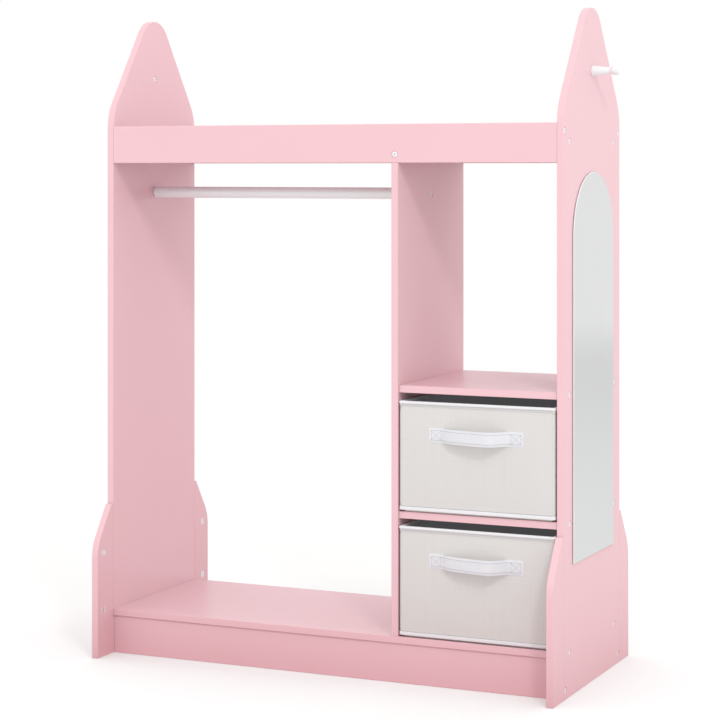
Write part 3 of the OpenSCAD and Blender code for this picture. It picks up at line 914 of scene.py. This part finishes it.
handle_line = [HANDLE_SHARES[0]]
for i in range(1, len(HANDLE_SHARES) - 2):
    four = HANDLE_SHARES[i - 1:i + 3]
    for step in range(HANDLE_STEPS):
        along, bow = (eased_between(*(share[j] for share in four), step / HANDLE_STEPS)
                      for j in (0, 1))
        handle_line.append((along, max(0, bow)))
handle_line += HANDLE_SHARES[-2:]
bend_points = [Vector((handle_mid_x + along * half_length,
                       shell_low.y - WEBBING / 2 - bow * handle_bow, 0))
               for along, bow in handle_line]
webbing_long = sum((b - a).length for a, b in zip(bend_points, bend_points[1:]))
print("webbing", round(webbing_long / MM, 1), "mm long,", round(webbing_wide / MM), "mm wide")


def bent(piece):
    """Bends a flat piece that runs from x = 0 along the line of the handle."""
    data = bpy.data.curves.new("handle_line", "CURVE")
    data.dimensions = "2D"
    spline = data.splines.new("POLY")
    spline.points.add(len(bend_points) - 1)
    for point, place in zip(spline.points, bend_points):
        point.co = (place.x, place.y, 0, 1)
    line = bpy.data.objects.new("handle_line", data)
    bpy.context.scene.collection.objects.link(line)
    apply(piece, "CURVE", object=line, deform_axis="POS_X")
    bpy.data.objects.remove(line)
    return piece


# %% [markdown]
# The flat webbing starts as a thin block with rounded edges. Its long cuts are spaced so that
# each rib has a crest between two valleys, and the crests are then lifted on both faces.

# %% Webbing
RIBS = 5
RIB_PROFILE = ((0.3, 0.75), (0.5, 1), (0.7, 0.75))
RIB_RISE = 0.5 * MM
PLAIN_EDGE = 4.5 * MM
EDGE_ROUND = 0.35 * MM
EDGE_STEPS = 2
OFF_MIDDLE = 0.3
ROW_GAP = 0.02 * MM
WEBBING_STEPS = 96


def webbing():
    low_z = handle_low.z
    rib_wide = (webbing_wide - 2 * PLAIN_EDGE) / RIBS
    piece = block("upper_bin_webbing", (0, -WEBBING / 2, low_z),
                  (webbing_long, WEBBING / 2, low_z + webbing_wide))
    eased(piece, EDGE_ROUND, EDGE_STEPS)
    slice_along(piece, 0, steps_between(0, webbing_long, webbing_long / WEBBING_STEPS)[1:-1])
    valleys = [low_z + PLAIN_EDGE + rib_wide * i for i in range(RIBS + 1)]
    crests = [z + rib_wide * share for z in valleys[:-1] for share, rise in RIB_PROFILE]
    slice_along(piece, 2, valleys + crests)
    for share, rise in RIB_PROFILE:
        rows = [z + rib_wide * share for z in valleys[:-1]]
        for way in (-1, 1):
            pick(piece, "VERT", lambda place, normal: place.y * way > OFF_MIDDLE * WEBBING
                 and EDGE_ROUND < place.x < webbing_long - EDGE_ROUND
                 and min(abs(place.z - z) for z in rows) < ROW_GAP)
            bpy.ops.transform.translate(value=(0, way * rise * RIB_RISE / 2, 0))
    leave_edit()
    return piece


flat_webbing = webbing()
print("flat webbing", len(flat_webbing.data.polygons), "faces")

# %% [markdown]
# Stitches are what tells sewn cloth from painted cloth. One stitch is a thin six-sided grain
# of thread, and a row of them is that grain repeated by an Array modifier. A row is then laid
# from point to point. At each end of the handle the rows make a box with a cross in it.

# %% Stitches
STITCH_PITCH = 2.6 * MM
STITCH_LONG = 2.1 * MM
STITCH_SHAPE = ((0, 0.12), (0.2, 0.45), (0.5, 0.5), (0.8, 0.45), (1, 0.12))
STITCH_SIDES = 6
THREAD = 0.8 * MM
FINE_THREAD = 0.5 * MM
HANDLE_ROW_IN = 0.9 * PLAIN_EDGE
CROSS_FROM = 4 * MM
CROSS_TO = 21 * MM
ROW_IN = 4 * MM
TAPE_ROW_UP = 3.1 * MM
TAPE_ROW_OUT = 0.3 * MM
BAND_ROW_UP = 0.4 * MM
BAND_ROW_OUT = 0.1 * MM


def stitch_row(start, end, outward, thick=THREAD):
    """A row of stitches between two points on a surface that faces outward."""
    start, end, outward = Vector(start), Vector(end), Vector(outward).normalized()
    run = (end - start).length
    count = max(1, round(run / STITCH_PITCH))
    pitch = run / count
    row = turned("stitches", [(STITCH_LONG * along, thick * wide)
                              for along, wide in STITCH_SHAPE], STITCH_SIDES)
    apply(row, "ARRAY", count=count, use_relative_offset=False, use_constant_offset=True,
          constant_offset_displace=(0, 0, pitch))
    along = (end - start).normalized()
    across = outward.cross(along)
    turn = Matrix((across, outward, along)).transposed().to_4x4()
    row.data.transform(Matrix.Translation(start + along * (pitch - STITCH_LONG) / 2) @ turn)
    return row


def handle_stitches():
    face_y = -WEBBING / 2
    low_z, high_z = handle_low.z + HANDLE_ROW_IN, handle_high.z - HANDLE_ROW_IN
    far_end = webbing_long - CROSS_FROM
    rows = [((CROSS_FROM, z), (far_end, z)) for z in (low_z, high_z)]
    for near, far in ((CROSS_FROM, CROSS_TO), (far_end, webbing_long - CROSS_TO)):
        rows += [((near, low_z), (near, high_z)), ((far, low_z), (far, high_z)),
                 ((near, low_z), (far, high_z)), ((near, high_z), (far, low_z))]
    made = [stitch_row((a[0], face_y, a[1]), (b[0], face_y, b[1]), (0, -1, 0)) for a, b in rows]
    return joined("upper_bin_handle_thread", made)


def seam_stitches():
    """Rows of fine thread down the seams beside the corners."""
    rows = []
    low, high = shell_low, shell_high
    for y, way in ((low.y, -1), (high.y, 1)):
        for x in (low.x + SEAM_IN, high.x - SEAM_IN):
            rows.append(((x, y, tape_low.z), (x, y, band_high.z), (0, way, 0)))
    for x, way in ((low.x, -1), (high.x, 1)):
        for y in (low.y + SEAM_IN, high.y - SEAM_IN):
            rows.append(((x, y, tape_low.z), (x, y, band_high.z), (way, 0, 0)))
    return joined("upper_bin_seam_thread", [stitch_row(*row, FINE_THREAD) for row in rows])


def tape_stitches():
    """Rows round the flap of the rim tape and round the top of the hem band."""
    rows = []
    low, high = shell_low, shell_high
    # The grey thread of these rows sits just under the roll and on the top edge of the band, where
    # it draws the dark lines that shade would make: real stitches and painted shade.
    for z, proud in ((tape_low.z + TAPE_ROW_UP, TAPE_ROW_OUT),
                     (band_high.z + BAND_ROW_UP, BAND_ROW_OUT)):
        for y, way in ((low.y, -1), (high.y, 1)):
            rows.append(((low.x + ROW_IN, y + way * proud, z),
                         (high.x - ROW_IN, y + way * proud, z), (0, way, 0)))
        for x, way in ((low.x, -1), (high.x, 1)):
            rows.append(((x + way * proud, low.y + ROW_IN, z),
                         (x + way * proud, high.y - ROW_IN, z), (way, 0, 0)))
    return joined("upper_bin_tape_thread", [stitch_row(*row) for row in rows])


handle_thread = bent(handle_stitches())
handle = bent(flat_webbing)
seam_thread = seam_stitches()
tape_thread = tape_stitches()
threads = (handle_thread, seam_thread, tape_thread)
print("thread", sum(len(thread.data.polygons) for thread in threads), "faces")

# %% [markdown]
# The lower bin is the same bin one bay down, so each piece is copied with its own mesh. The
# cloth gets a flat UV map in metres first, because a weave must follow the surface and keep
# its scale. The handle keeps the map of the flat block that it was cut from.

# %% Copy the bin down and join it to the model
bin_pieces = [
    (shell, "shell", "bin_cloth"), (lining, "lining", "bin_lining"),
    (floor_board, "floor_board", "bin_lining_board"), (top_tape, "top_tape", "bin_tape"),
    (hem_band, "bottom_tape", "bin_tape"), (handle, "handle", "strap_webbing"),
    (handle_thread, None, "strap_webbing"), (seam_thread, None, "bin_tape"),
    (tape_thread, None, "bin_tape")]
for piece, node, slot in bin_pieces:
    if piece not in (handle, *threads):
        pick_all(piece)
        bpy.ops.uv.cube_project(cube_size=1, correct_aspect=False, scale_to_bounds=False)
    smooth(piece)
    twin = copied(piece, piece.name.replace("upper", "lower"),
                  Matrix.Translation((0, 0, -bin_drop)))
    for one, bay in ((piece, "upper_bin"), (twin, "lower_bin")):
        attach(one, bay)
        if node:
            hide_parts(bay + "_" + node)
print("two bins, the lower one", round(bin_drop / MM, 1), "mm down")

# %% [markdown]
# ## Finishes
#
# A finish is a small network of shader nodes. What several finishes share, such as the
# clouding of paint or the crossing of threads, is built once as a node group with named
# inputs, and each material places that group with its own values.

# %% Helpers for shader nodes
def connect(value, socket):
    if isinstance(value, bpy.types.NodeSocket):
        socket.id_data.links.new(value, socket)
    else:
        socket.default_value = value


def feed(made, **inputs):
    """Gives each named input of a node a value or a link, with _ for a space in its name."""
    for name, value in inputs.items():
        connect(value, made.inputs[name.replace("_", " ")])
    return made


def node(tree, kind, settings=(), **inputs):
    """Adds a node, sets its options and feeds its inputs."""
    made = tree.nodes.new("ShaderNode" + kind)
    for name, value in dict(settings).items():
        setattr(made, name, value)
    return feed(made, **inputs)


def sum_of(tree, operation, *values):
    """A Math node: its result for one, two or three values."""
    made = node(tree, "Math", {"operation": operation})
    for socket, value in zip(made.inputs, values):
        connect(value, socket)
    return made.outputs[0]


def in_range(tree, value, low, high):
    """Stretches a mask from 0..1 to low..high."""
    return node(tree, "MapRange", Value=value, To_Min=low, To_Max=high).outputs["Result"]


def between(tree, value, near, far):
    """A mask that climbs smoothly from 0 at near to 1 at far."""
    return node(tree, "MapRange", {"interpolation_type": "SMOOTHSTEP"}, Value=value,
                From_Min=near, From_Max=far).outputs["Result"]


def mixed(tree, factor, first, second):
    """A colour between two others."""
    return node(tree, "Mix", {"data_type": "RGBA"}, Factor=factor, A=(*first, 1),
                B=(*second, 1)).outputs["Result"]


def scaled(tree, vector, factor):
    """A colour, or a place, times a factor."""
    return node(tree, "VectorMath", {"operation": "SCALE"}, Vector=vector,
                Scale=factor).outputs["Vector"]


def object_place(tree):
    return node(tree, "TexCoord").outputs["Object"]


def flat_place(tree):
    return node(tree, "UVMap").outputs["UV"]


def group(name, inputs, outputs):
    """A new node group with sockets given as (name, type, default)."""
    tree = bpy.data.node_groups.new(name, "ShaderNodeTree")
    for way, sockets in (("INPUT", inputs), ("OUTPUT", outputs)):
        for socket_name, kind, default in sockets:
            socket = tree.interface.new_socket(
                socket_name, in_out=way, socket_type="NodeSocket" + kind)
            if default is not None:
                socket.default_value = default
    return tree, tree.nodes.new("NodeGroupInput").outputs, tree.nodes.new("NodeGroupOutput")


# %% [markdown]
# Sprayed paint is never one flat colour. Over a hand's width it clouds by a percent, its
# gloss wanders with it, and close up it has the soft dimples that painters call orange peel.
# The group reads Object coordinates, so that the pattern runs on from board to board. The gloss
# drifts by a twentieth at most, which keeps the boards above 0.28: below that, the noise filter
# of the render takes them for mirrors and leaves dark spots.

# %% The paint film group
GLOSS_DRIFT = 0.1


def wander(tree, place, scale, detail, swing, middle):
    """A number that clouds round its middle, by half its swing either way."""
    noise = node(tree, "TexNoise", Vector=place, Scale=scale, Detail=detail)
    return sum_of(tree, "MULTIPLY_ADD", sum_of(tree, "SUBTRACT", noise.outputs[0], 0.5),
                  swing, middle)


paint_film, film_in, film_out = group(
    "paint_film",
    [("Vector", "Vector", None), ("Color", "Color", (0.8, 0.8, 0.8, 1)),
     ("Clouding", "Float", 0.02), ("Gloss", "Float", 0.45), ("Peel Size", "Float", 400)],
    [("Color", "Color", None), ("Roughness", "Float", None), ("Height", "Float", None)])
clouds = wander(paint_film, film_in["Vector"], 7.0, 3.0, film_in["Clouding"], 1.0)
gloss = wander(paint_film, film_in["Vector"], 23.0, 2.0, GLOSS_DRIFT, film_in["Gloss"])
peel = node(paint_film, "TexNoise", Vector=film_in["Vector"], Scale=film_in["Peel Size"],
            Detail=2.0)
feed(film_out, Color=scaled(paint_film, film_in["Color"], clouds), Roughness=gloss,
     Height=peel.outputs[0])
print("paint film group:", len(paint_film.nodes), "nodes")

# %% [markdown]
# Woven cloth is two sets of threads at right angles. Each thread is a half-round, and a
# checker pattern decides which set is on top. Threads also differ: a thick one makes a faint
# streak that runs the whole length of the cloth, and that streak is what the eye sees as
# linen from across a room, long after the threads themselves have blurred together.

# %% The weave group
THREAD_LOW = 0.55
STREAK_LONG = 0.004
STREAK_WIDE = 0.22
STREAK_UP = 0.1

weave, weave_in, weave_out = group(
    "weave",
    [("Vector", "Vector", None), ("Color", "Color", (0.8, 0.8, 0.8, 1)),
     ("Threads", "Float", 1200), ("Streaks", "Float", 0.06)],
    [("Color", "Color", None), ("Height", "Float", None), ("Roughness", "Float", None)])
counted = scaled(weave, weave_in["Vector"], weave_in["Threads"])
axes = node(weave, "SeparateXYZ", Vector=counted)
rounds = [sum_of(weave, "ABSOLUTE", sum_of(weave, "SINE", sum_of(
    weave, "MULTIPLY", axes.outputs[i], math.pi))) for i in (0, 1)]
warp, weft = (sum_of(weave, "MULTIPLY", own, sum_of(
    weave, "MULTIPLY_ADD", other, 1 - THREAD_LOW, THREAD_LOW))
    for own, other in (rounds, reversed(rounds)))
on_top = node(weave, "TexChecker", Vector=counted, Scale=1.0).outputs["Fac"]
woven_height = node(weave, "Mix", {"data_type": "FLOAT"}, Factor=on_top, A=warp,
                    B=weft).outputs[0]
streaks = []
for stretch in ((STREAK_WIDE, STREAK_LONG, STREAK_UP), (STREAK_LONG, STREAK_WIDE, STREAK_UP)):
    run = node(weave, "Mapping", {"vector_type": "POINT"}, Vector=counted, Scale=stretch)
    streaks.append(node(weave, "TexNoise", Vector=run.outputs[0], Scale=1.0, Detail=3.0,
                        Roughness=0.6).outputs[0])
both_ways = sum_of(weave, "SUBTRACT", sum_of(weave, "ADD", *streaks), 1.0)
# Threads that lie low are painted up to three percent darker and high ones lighter: painted shade
# in the hollows of the weave.
painted_valley_shade = in_range(weave, woven_height, 0.97, 1.03)
streaks_and_valley_shade = sum_of(weave, "MULTIPLY", painted_valley_shade, sum_of(
    weave, "MULTIPLY_ADD", both_ways, weave_in["Streaks"], 1.0))
feed(weave_out, Color=scaled(weave, weave_in["Color"], streaks_and_valley_shade), Height=woven_height,
     Roughness=in_range(weave, woven_height, 0.95, 0.8))
print("weave group:", len(weave.nodes), "nodes")

# %% [markdown]
# A material holds one Principled shader. `painted` makes it, sets what is the same all over on
# the shader's own sockets, and places the film's group in front of it. The group's height goes
# through a Bump node, whose distance is the real depth of the dimples in metres. What a board
# throws on to its neighbours is held below what the camera sees, the red most, because full
# bouncing makes the inner faces deeper in colour than they are.

# %% Painted boards, white paint and zinc
BOUNCE_SHARE = (0.74, 0.83, 0.83)
PINK = (0.893, 0.580, 0.622)
SATIN = 0.34
LACQUER_IOR = 1.8


def placed(tree, group_tree, **inputs):
    return node(tree, "Group", {"node_tree": group_tree}, **inputs).outputs


def material(name):
    made = bpy.data.materials.new(name)
    made.use_nodes = True
    return made, made.node_tree, made.node_tree.nodes["Principled BSDF"]


def bumped(tree, shader, height, depth):
    feed(shader, Normal=node(tree, "Bump", Height=height, Distance=depth).outputs[0])


def calmed(tree, colour):
    """A colour that gives its neighbours less light, and less of its pink, than the camera."""
    bounced = node(tree, "LightPath").outputs["Is Diffuse Ray"]
    calm = node(tree, "VectorMath", {"operation": "MULTIPLY"}, Vector=colour)
    connect(mixed(tree, bounced, (1, 1, 1), BOUNCE_SHARE), calm.inputs[1])
    return calm.outputs[0]


def painted(name, colour, gloss, clouding=0.03, peel=0.02 * MM, **on_shader):
    """A paint. What is the same all over it goes straight onto the shader."""
    made, tree, shader = material(name)
    film = placed(tree, paint_film, Vector=object_place(tree), Color=(*colour, 1),
                  Clouding=clouding, Gloss=gloss)
    feed(shader, Base_Color=calmed(tree, film["Color"]), Roughness=film["Roughness"],
         **on_shader)
    bumped(tree, shader, film["Height"], peel)
    return made


board_paint = painted("board_paint", PINK, SATIN, peel=0.008 * MM, Specular_IOR_Level=0.3)
rod_paint = painted("rod_paint", (0.96, 0.985, 0.99), SATIN, Specular_IOR_Level=1.0,
                    Coat_Weight=1.0, Coat_Roughness=0.12, IOR=LACQUER_IOR)
screw_paint = painted("screw_paint", (0.92, 0.92, 0.94), SATIN, peel=0.01 * MM)

zinc, tree, shader = material("zinc_casting")
film = placed(tree, paint_film, Vector=object_place(tree), Color=(0.88, 0.87, 0.90, 1),
              Clouding=0.1, Gloss=0.35, Peel_Size=1500.0)
feed(shader, Base_Color=film["Color"], Roughness=film["Roughness"], Metallic=1.0)
bumped(tree, shader, film["Height"], 0.03 * MM)

bolt_steel = zinc.copy()
bolt_steel.name = "bolt_steel"
print("painted finishes:", board_paint.name, rod_paint.name, screw_paint.name, zinc.name)

# %% [markdown]
# The mirror is a metal to the shader: it has no colour of its own, only a reflection a little
# darker than what it sees. Faint wipe marks change its roughness by next to nothing, which is
# enough to keep it from looking like a hole. The ground edge of the glass is a second
# material on the faces of the bevel.

# %% Mirror, foam, wood and card
mirror_face, tree, shader = material("mirror_silver")
wiped = node(tree, "Mapping", Vector=object_place(tree), Scale=(4.0, 9.0, 3.0),
             Rotation=(0.5, 0, 0))
wipes = node(tree, "TexNoise", Vector=wiped.outputs[0], Scale=1.6, Detail=5.0,
             Distortion=0.8).outputs[0]
silver = scaled(tree, (0.745, 0.748, 0.752), in_range(tree, wipes, 0.985, 1.015))
feed(shader, Base_Color=silver, Roughness=in_range(tree, wipes, 0.0, 0.05), Metallic=1.0)
mirror_edge = painted("glass_edge", (0.95, 0.965, 0.965), 0.2)

foam, tree, shader = material("pad_foam")
bubbles = node(tree, "TexVoronoi", {"feature": "SMOOTH_F1"}, Vector=object_place(tree),
               Scale=1600.0).outputs["Distance"]
feed(shader, Base_Color=scaled(tree, (0.82, 0.82, 0.80), in_range(tree, bubbles, 0.85, 1.05)),
     Roughness=0.9)
bumped(tree, shader, bubbles, 0.15 * MM)


def fibrous(name, light, dark, stretch, depth):
    """Wood or card: two tones that follow long fibres."""
    made, tree, shader = material(name)
    run = node(tree, "Mapping", Vector=object_place(tree), Scale=stretch)
    fibres = node(tree, "TexNoise", Vector=run.outputs[0], Scale=1.0, Detail=6.0,
                  Roughness=0.65, Distortion=0.6).outputs[0]
    feed(shader, Base_Color=mixed(tree, fibres, dark, light),
         Roughness=in_range(tree, fibres, 0.55, 0.8))
    bumped(tree, shader, fibres, depth)
    return made


beech = fibrous("beech", (0.72, 0.50, 0.28), (0.50, 0.30, 0.14), (40, 900, 900), 0.1 * MM)
greyboard = fibrous("greyboard", (0.46, 0.38, 0.27), (0.30, 0.24, 0.17), (500, 500, 90),
                    0.05 * MM)
print("mirror, foam, wood and card are ready")

# %% [markdown]
# The cloths differ in how many threads they count to the metre, in their streaks and in the
# depth of their weave. Sheen, on the shader's own socket, gives the pale bloom that cloth has
# at a low angle. The lining is felted, not woven, and is pressed with a fine grid of dots.
# Behind a gap of eleven millimetres it would render as black, so it is given back a little of
# its own colour as light, about a twentieth of white, and still reads as charcoal in there.

# %% Cloths, tape and thread
SHADE_GLOW = 0.75


def woven(name, colour, threads, streaks, depth):
    made, tree, shader = material(name)
    cloth = placed(tree, weave, Vector=flat_place(tree), Color=(*colour, 1), Threads=threads,
                   Streaks=streaks)
    feed(shader, Base_Color=cloth["Color"], Roughness=cloth["Roughness"],
         Specular_IOR_Level=0.25, Sheen_Weight=0.05, Sheen_Roughness=0.5)
    bumped(tree, shader, cloth["Height"], depth)
    return made


def thread(name, colour):
    return painted(name, colour, 0.7, clouding=0.1, Specular_IOR_Level=0.2)


bin_cloth = woven("bin_weave", (0.77, 0.755, 0.733), 1250, 0.07, 0.12 * MM)
tape_cloth = woven("tape_weave", (0.90, 0.90, 0.915), 1800, 0.04, 0.08 * MM)
# A greyer copy of the tape cloth for the flap under the roll: painted shade.
flap_shade_tape = woven("flap_painted_shade_weave", (0.70, 0.69, 0.685), 1800, 0.04, 0.08 * MM)
webbing_cloth = woven("webbing_weave", (0.88, 0.89, 0.925), 1100, 0.05, 0.15 * MM)
# This grey also draws the lines under the rim roll and above the hem band, where it is partly
# painted shade.
thread_cloth = thread("sewing_thread", (0.42, 0.42, 0.46))
fine_thread = thread("fine_thread", (0.66, 0.64, 0.62))

lining_felt, tree, shader = material("lining_felt")
dots = node(tree, "TexVoronoi", {"feature": "F1", "voronoi_dimensions": "2D"},
            Vector=flat_place(tree), Scale=650.0, Randomness=0.0)
pressed = between(tree, dots.outputs["Distance"], 0.15, 0.42)
fuzz = node(tree, "TexNoise", Vector=flat_place(tree), Scale=900.0, Detail=4.0)
depth = sum_of(tree, "MULTIPLY_ADD", fuzz.outputs[0], 0.5, pressed)
charcoal = scaled(tree, (0.066, 0.065, 0.068), in_range(tree, depth, 0.75, 1.1))
feed(shader, Base_Color=charcoal, Emission_Color=charcoal, Emission_Strength=SHADE_GLOW,
     Roughness=in_range(tree, pressed, 0.7, 0.92), Sheen_Weight=0.1)
bumped(tree, shader, depth, 0.15 * MM)
print("cloth finishes:", bin_cloth.name, tape_cloth.name, webbing_cloth.name, lining_felt.name)

# %% [markdown]
# Each piece and each engineering node that still shows is given its finish by name. The rim
# tape gets two: white where it is rolled thick over the edge, and a greyer copy on the flap
# below, which is painted shade: its grey stands in for the shade under the roll.

# %% Give every piece its finish
FLAP_BELOW = 4.6 * MM


def finished(piece, *materials):
    piece.data.materials.clear()
    for one in materials:
        piece.data.materials.append(one)
    return piece


for board in boards.values():
    finished(board, board_paint)
for piece in [rod] + pegs:
    finished(piece, rod_paint)
for name in SCREW_NODES:
    finished(bpy.data.objects["turned_" + name], screw_paint)
finished(cams, zinc)
finished(mirror, mirror_face, mirror_edge)
for face in mirror.data.polygons:
    face.material_index = 0 if abs(face.normal.x) > SQUARE_ON else 1
cloths = {
    "sewn_{}_bin": bin_cloth, "sewn_{}_lining": lining_felt, "{}_bin_floor": lining_felt,
    "{}_bin_rim_tape": tape_cloth, "{}_bin_hem_band": tape_cloth,
    "{}_bin_webbing": webbing_cloth, "{}_bin_handle_thread": thread_cloth,
    "{}_bin_seam_thread": fine_thread, "{}_bin_tape_thread": thread_cloth}
for bay in ("upper", "lower"):
    for name, cloth in cloths.items():
        finished(bpy.data.objects[name.format(bay)], cloth)
    rim = finished(bpy.data.objects[bay + "_bin_rim_tape"], tape_cloth, flap_shade_tape)
    rim_top = max(vertex.co.z for vertex in rim.data.vertices)
    for face in rim.data.polygons:
        # The flap faces get the grey copy, the painted shade under the roll.
        face.material_index = 1 if face.center.z < rim_top - FLAP_BELOW else 0
carried = {"mirror_pads": foam, "wood_dowels": beech, "ear_cam_bolts": bolt_steel,
           "upper_bin_cards": greyboard, "lower_bin_cards": greyboard}
for name, one in carried.items():
    finished(frame["nodes"][name], one)

# %% [markdown]
# ## Floor and light
#
# A product shot stands on a white sweep, lit by a round lamp from the front right, one metre
# wide and six metres away, and by white walls all round. The world is those walls. The camera
# sees it as plain white, a mirror or metal sees a wall that is a touch greyer, and the object
# is lit by it at a level of its own. Light Path tells the shader which kind of ray is asking.

# %% World and key light
DOME_LEVEL = 1.01
WALL_IN_MIRROR = 0.97
KEY_WATTS = 60
KEY_AWAY = 6.0
KEY_WIDE = 1.0
TOWARDS_KEY = Vector((0.525, -0.613, 0.591)).normalized()
OBJECT_MIDDLE = Vector((0, 0, 0.55))

world = bpy.data.worlds.new("studio")
world.use_nodes = True
bpy.context.scene.world = world
tree = world.node_tree
path = node(tree, "LightPath").outputs
in_mirror = sum_of(tree, "MAXIMUM", path["Is Glossy Ray"], path["Is Transmission Ray"])
level = sum_of(tree, "MULTIPLY_ADD", in_mirror, WALL_IN_MIRROR - DOME_LEVEL, DOME_LEVEL)
level = sum_of(tree, "MULTIPLY_ADD", path["Is Camera Ray"], 1.0 - DOME_LEVEL, level)
feed(tree.nodes["Background"], Strength=level, Color=(1, 1, 1, 1))

key_data = bpy.data.lights.new("key", "AREA")
key_data.shape = "DISK"
key_data.size = KEY_WIDE
key_data.energy = KEY_WATTS
key = bpy.data.objects.new("key", key_data)
key.location = OBJECT_MIDDLE + TOWARDS_KEY * KEY_AWAY
key.rotation_euler = TOWARDS_KEY.to_track_quat("Z", "Y").to_euler()
bpy.context.scene.collection.objects.link(key)
print("key light", round(math.degrees(math.asin(TOWARDS_KEY.z))), "degrees up")

# %% [markdown]
# The floor has three answers. To the camera it is a white that only the object's own shadow
# darkens: near the object most of it is a plain diffuse, which loses its light in shadow, and
# two metres out it only glows. To a mirror it is nearly white, greyest where the sweep ends and
# the wall begins. To the light that lands on the object it is a white sweep that glows back,
# except close to the object, where its glow is painted darker and pinker: a painted contact
# shadow and a painted pink bounce.
#
# The distance to the object is measured from a rectangle a little smaller than its footprint.

# %% Floor
FLOOR_HALF = 12.0
SHADOW_TINT = (0.84, 0.834, 0.828)
FLOOR_GLOW = 0.18
CONTACT_SHADE_GLOW = (0.47, 0.18, 0.205)
SWEEP_FAR = (0.90, 0.89, 0.89)
CONTACT_REACH = 0.33
FOOTPRINT_HALF = (0.43, 0.20)
OPEN_FLOOR = (0.9, 2.2)
SWEEP_IN_MIRROR = (0.93, 0.835)
SWEEP_DARKENS = (0.8, 5.2)
WALL_BEGINS = (5.4, 8.6)

nothing_selected()
bpy.ops.mesh.primitive_plane_add(size=2 * FLOOR_HALF, location=(0, 0, 0))
floor = named("studio_floor")
sweep, tree, shader = material("studio_floor")
tree.nodes.remove(shader)
path = node(tree, "LightPath").outputs
place = node(tree, "SeparateXYZ", Vector=object_place(tree))
beyond = [sum_of(tree, "MAXIMUM", 0.0, sum_of(tree, "SUBTRACT", sum_of(
    tree, "ABSOLUTE", place.outputs[i]), FOOTPRINT_HALF[i])) for i in (0, 1)]
away = sum_of(tree, "SQRT", sum_of(tree, "ADD", *(
    sum_of(tree, "MULTIPLY", one, one) for one in beyond)))


def blended(mask, near, far):
    """Mixes two shaders by a mask."""
    mix = node(tree, "MixShader", Fac=mask)
    connect(near, mix.inputs[1])
    connect(far, mix.inputs[2])
    return mix.outputs[0]


def glowing(*colour):
    """A shader that glows in a colour, or in a grey when it is given one number."""
    return node(tree, "Emission", Color=(*(colour * 3)[:3], 1), Strength=1.0).outputs[0]


catch = node(tree, "AddShader")
connect(node(tree, "BsdfDiffuse", Color=(*SHADOW_TINT, 1)).outputs[0], catch.inputs[0])
connect(glowing(FLOOR_GLOW), catch.inputs[1])
to_camera = blended(between(tree, away, *OPEN_FLOOR), catch.outputs[0], glowing(1.0))
# Within CONTACT_REACH the glow that lights the object is darker and pinker: painted contact shadow
# and painted pink bounce.
to_object = blended(between(tree, away, 0.0, CONTACT_REACH), glowing(*CONTACT_SHADE_GLOW),
                    glowing(*SWEEP_FAR))
to_mirror = blended(between(tree, away, *SWEEP_DARKENS),
                    *(glowing(level) for level in SWEEP_IN_MIRROR))
to_mirror = blended(between(tree, away, *WALL_BEGINS), to_mirror, glowing(WALL_IN_MIRROR))
last = blended(path["Is Glossy Ray"], to_object, to_mirror)
last = blended(path["Is Transmission Ray"], last, to_mirror)
last = blended(path["Is Camera Ray"], last, to_camera)
feed(tree.nodes["Material Output"], Surface=last)
finished(floor, sweep)
print("floor", 2 * FLOOR_HALF, "m wide")
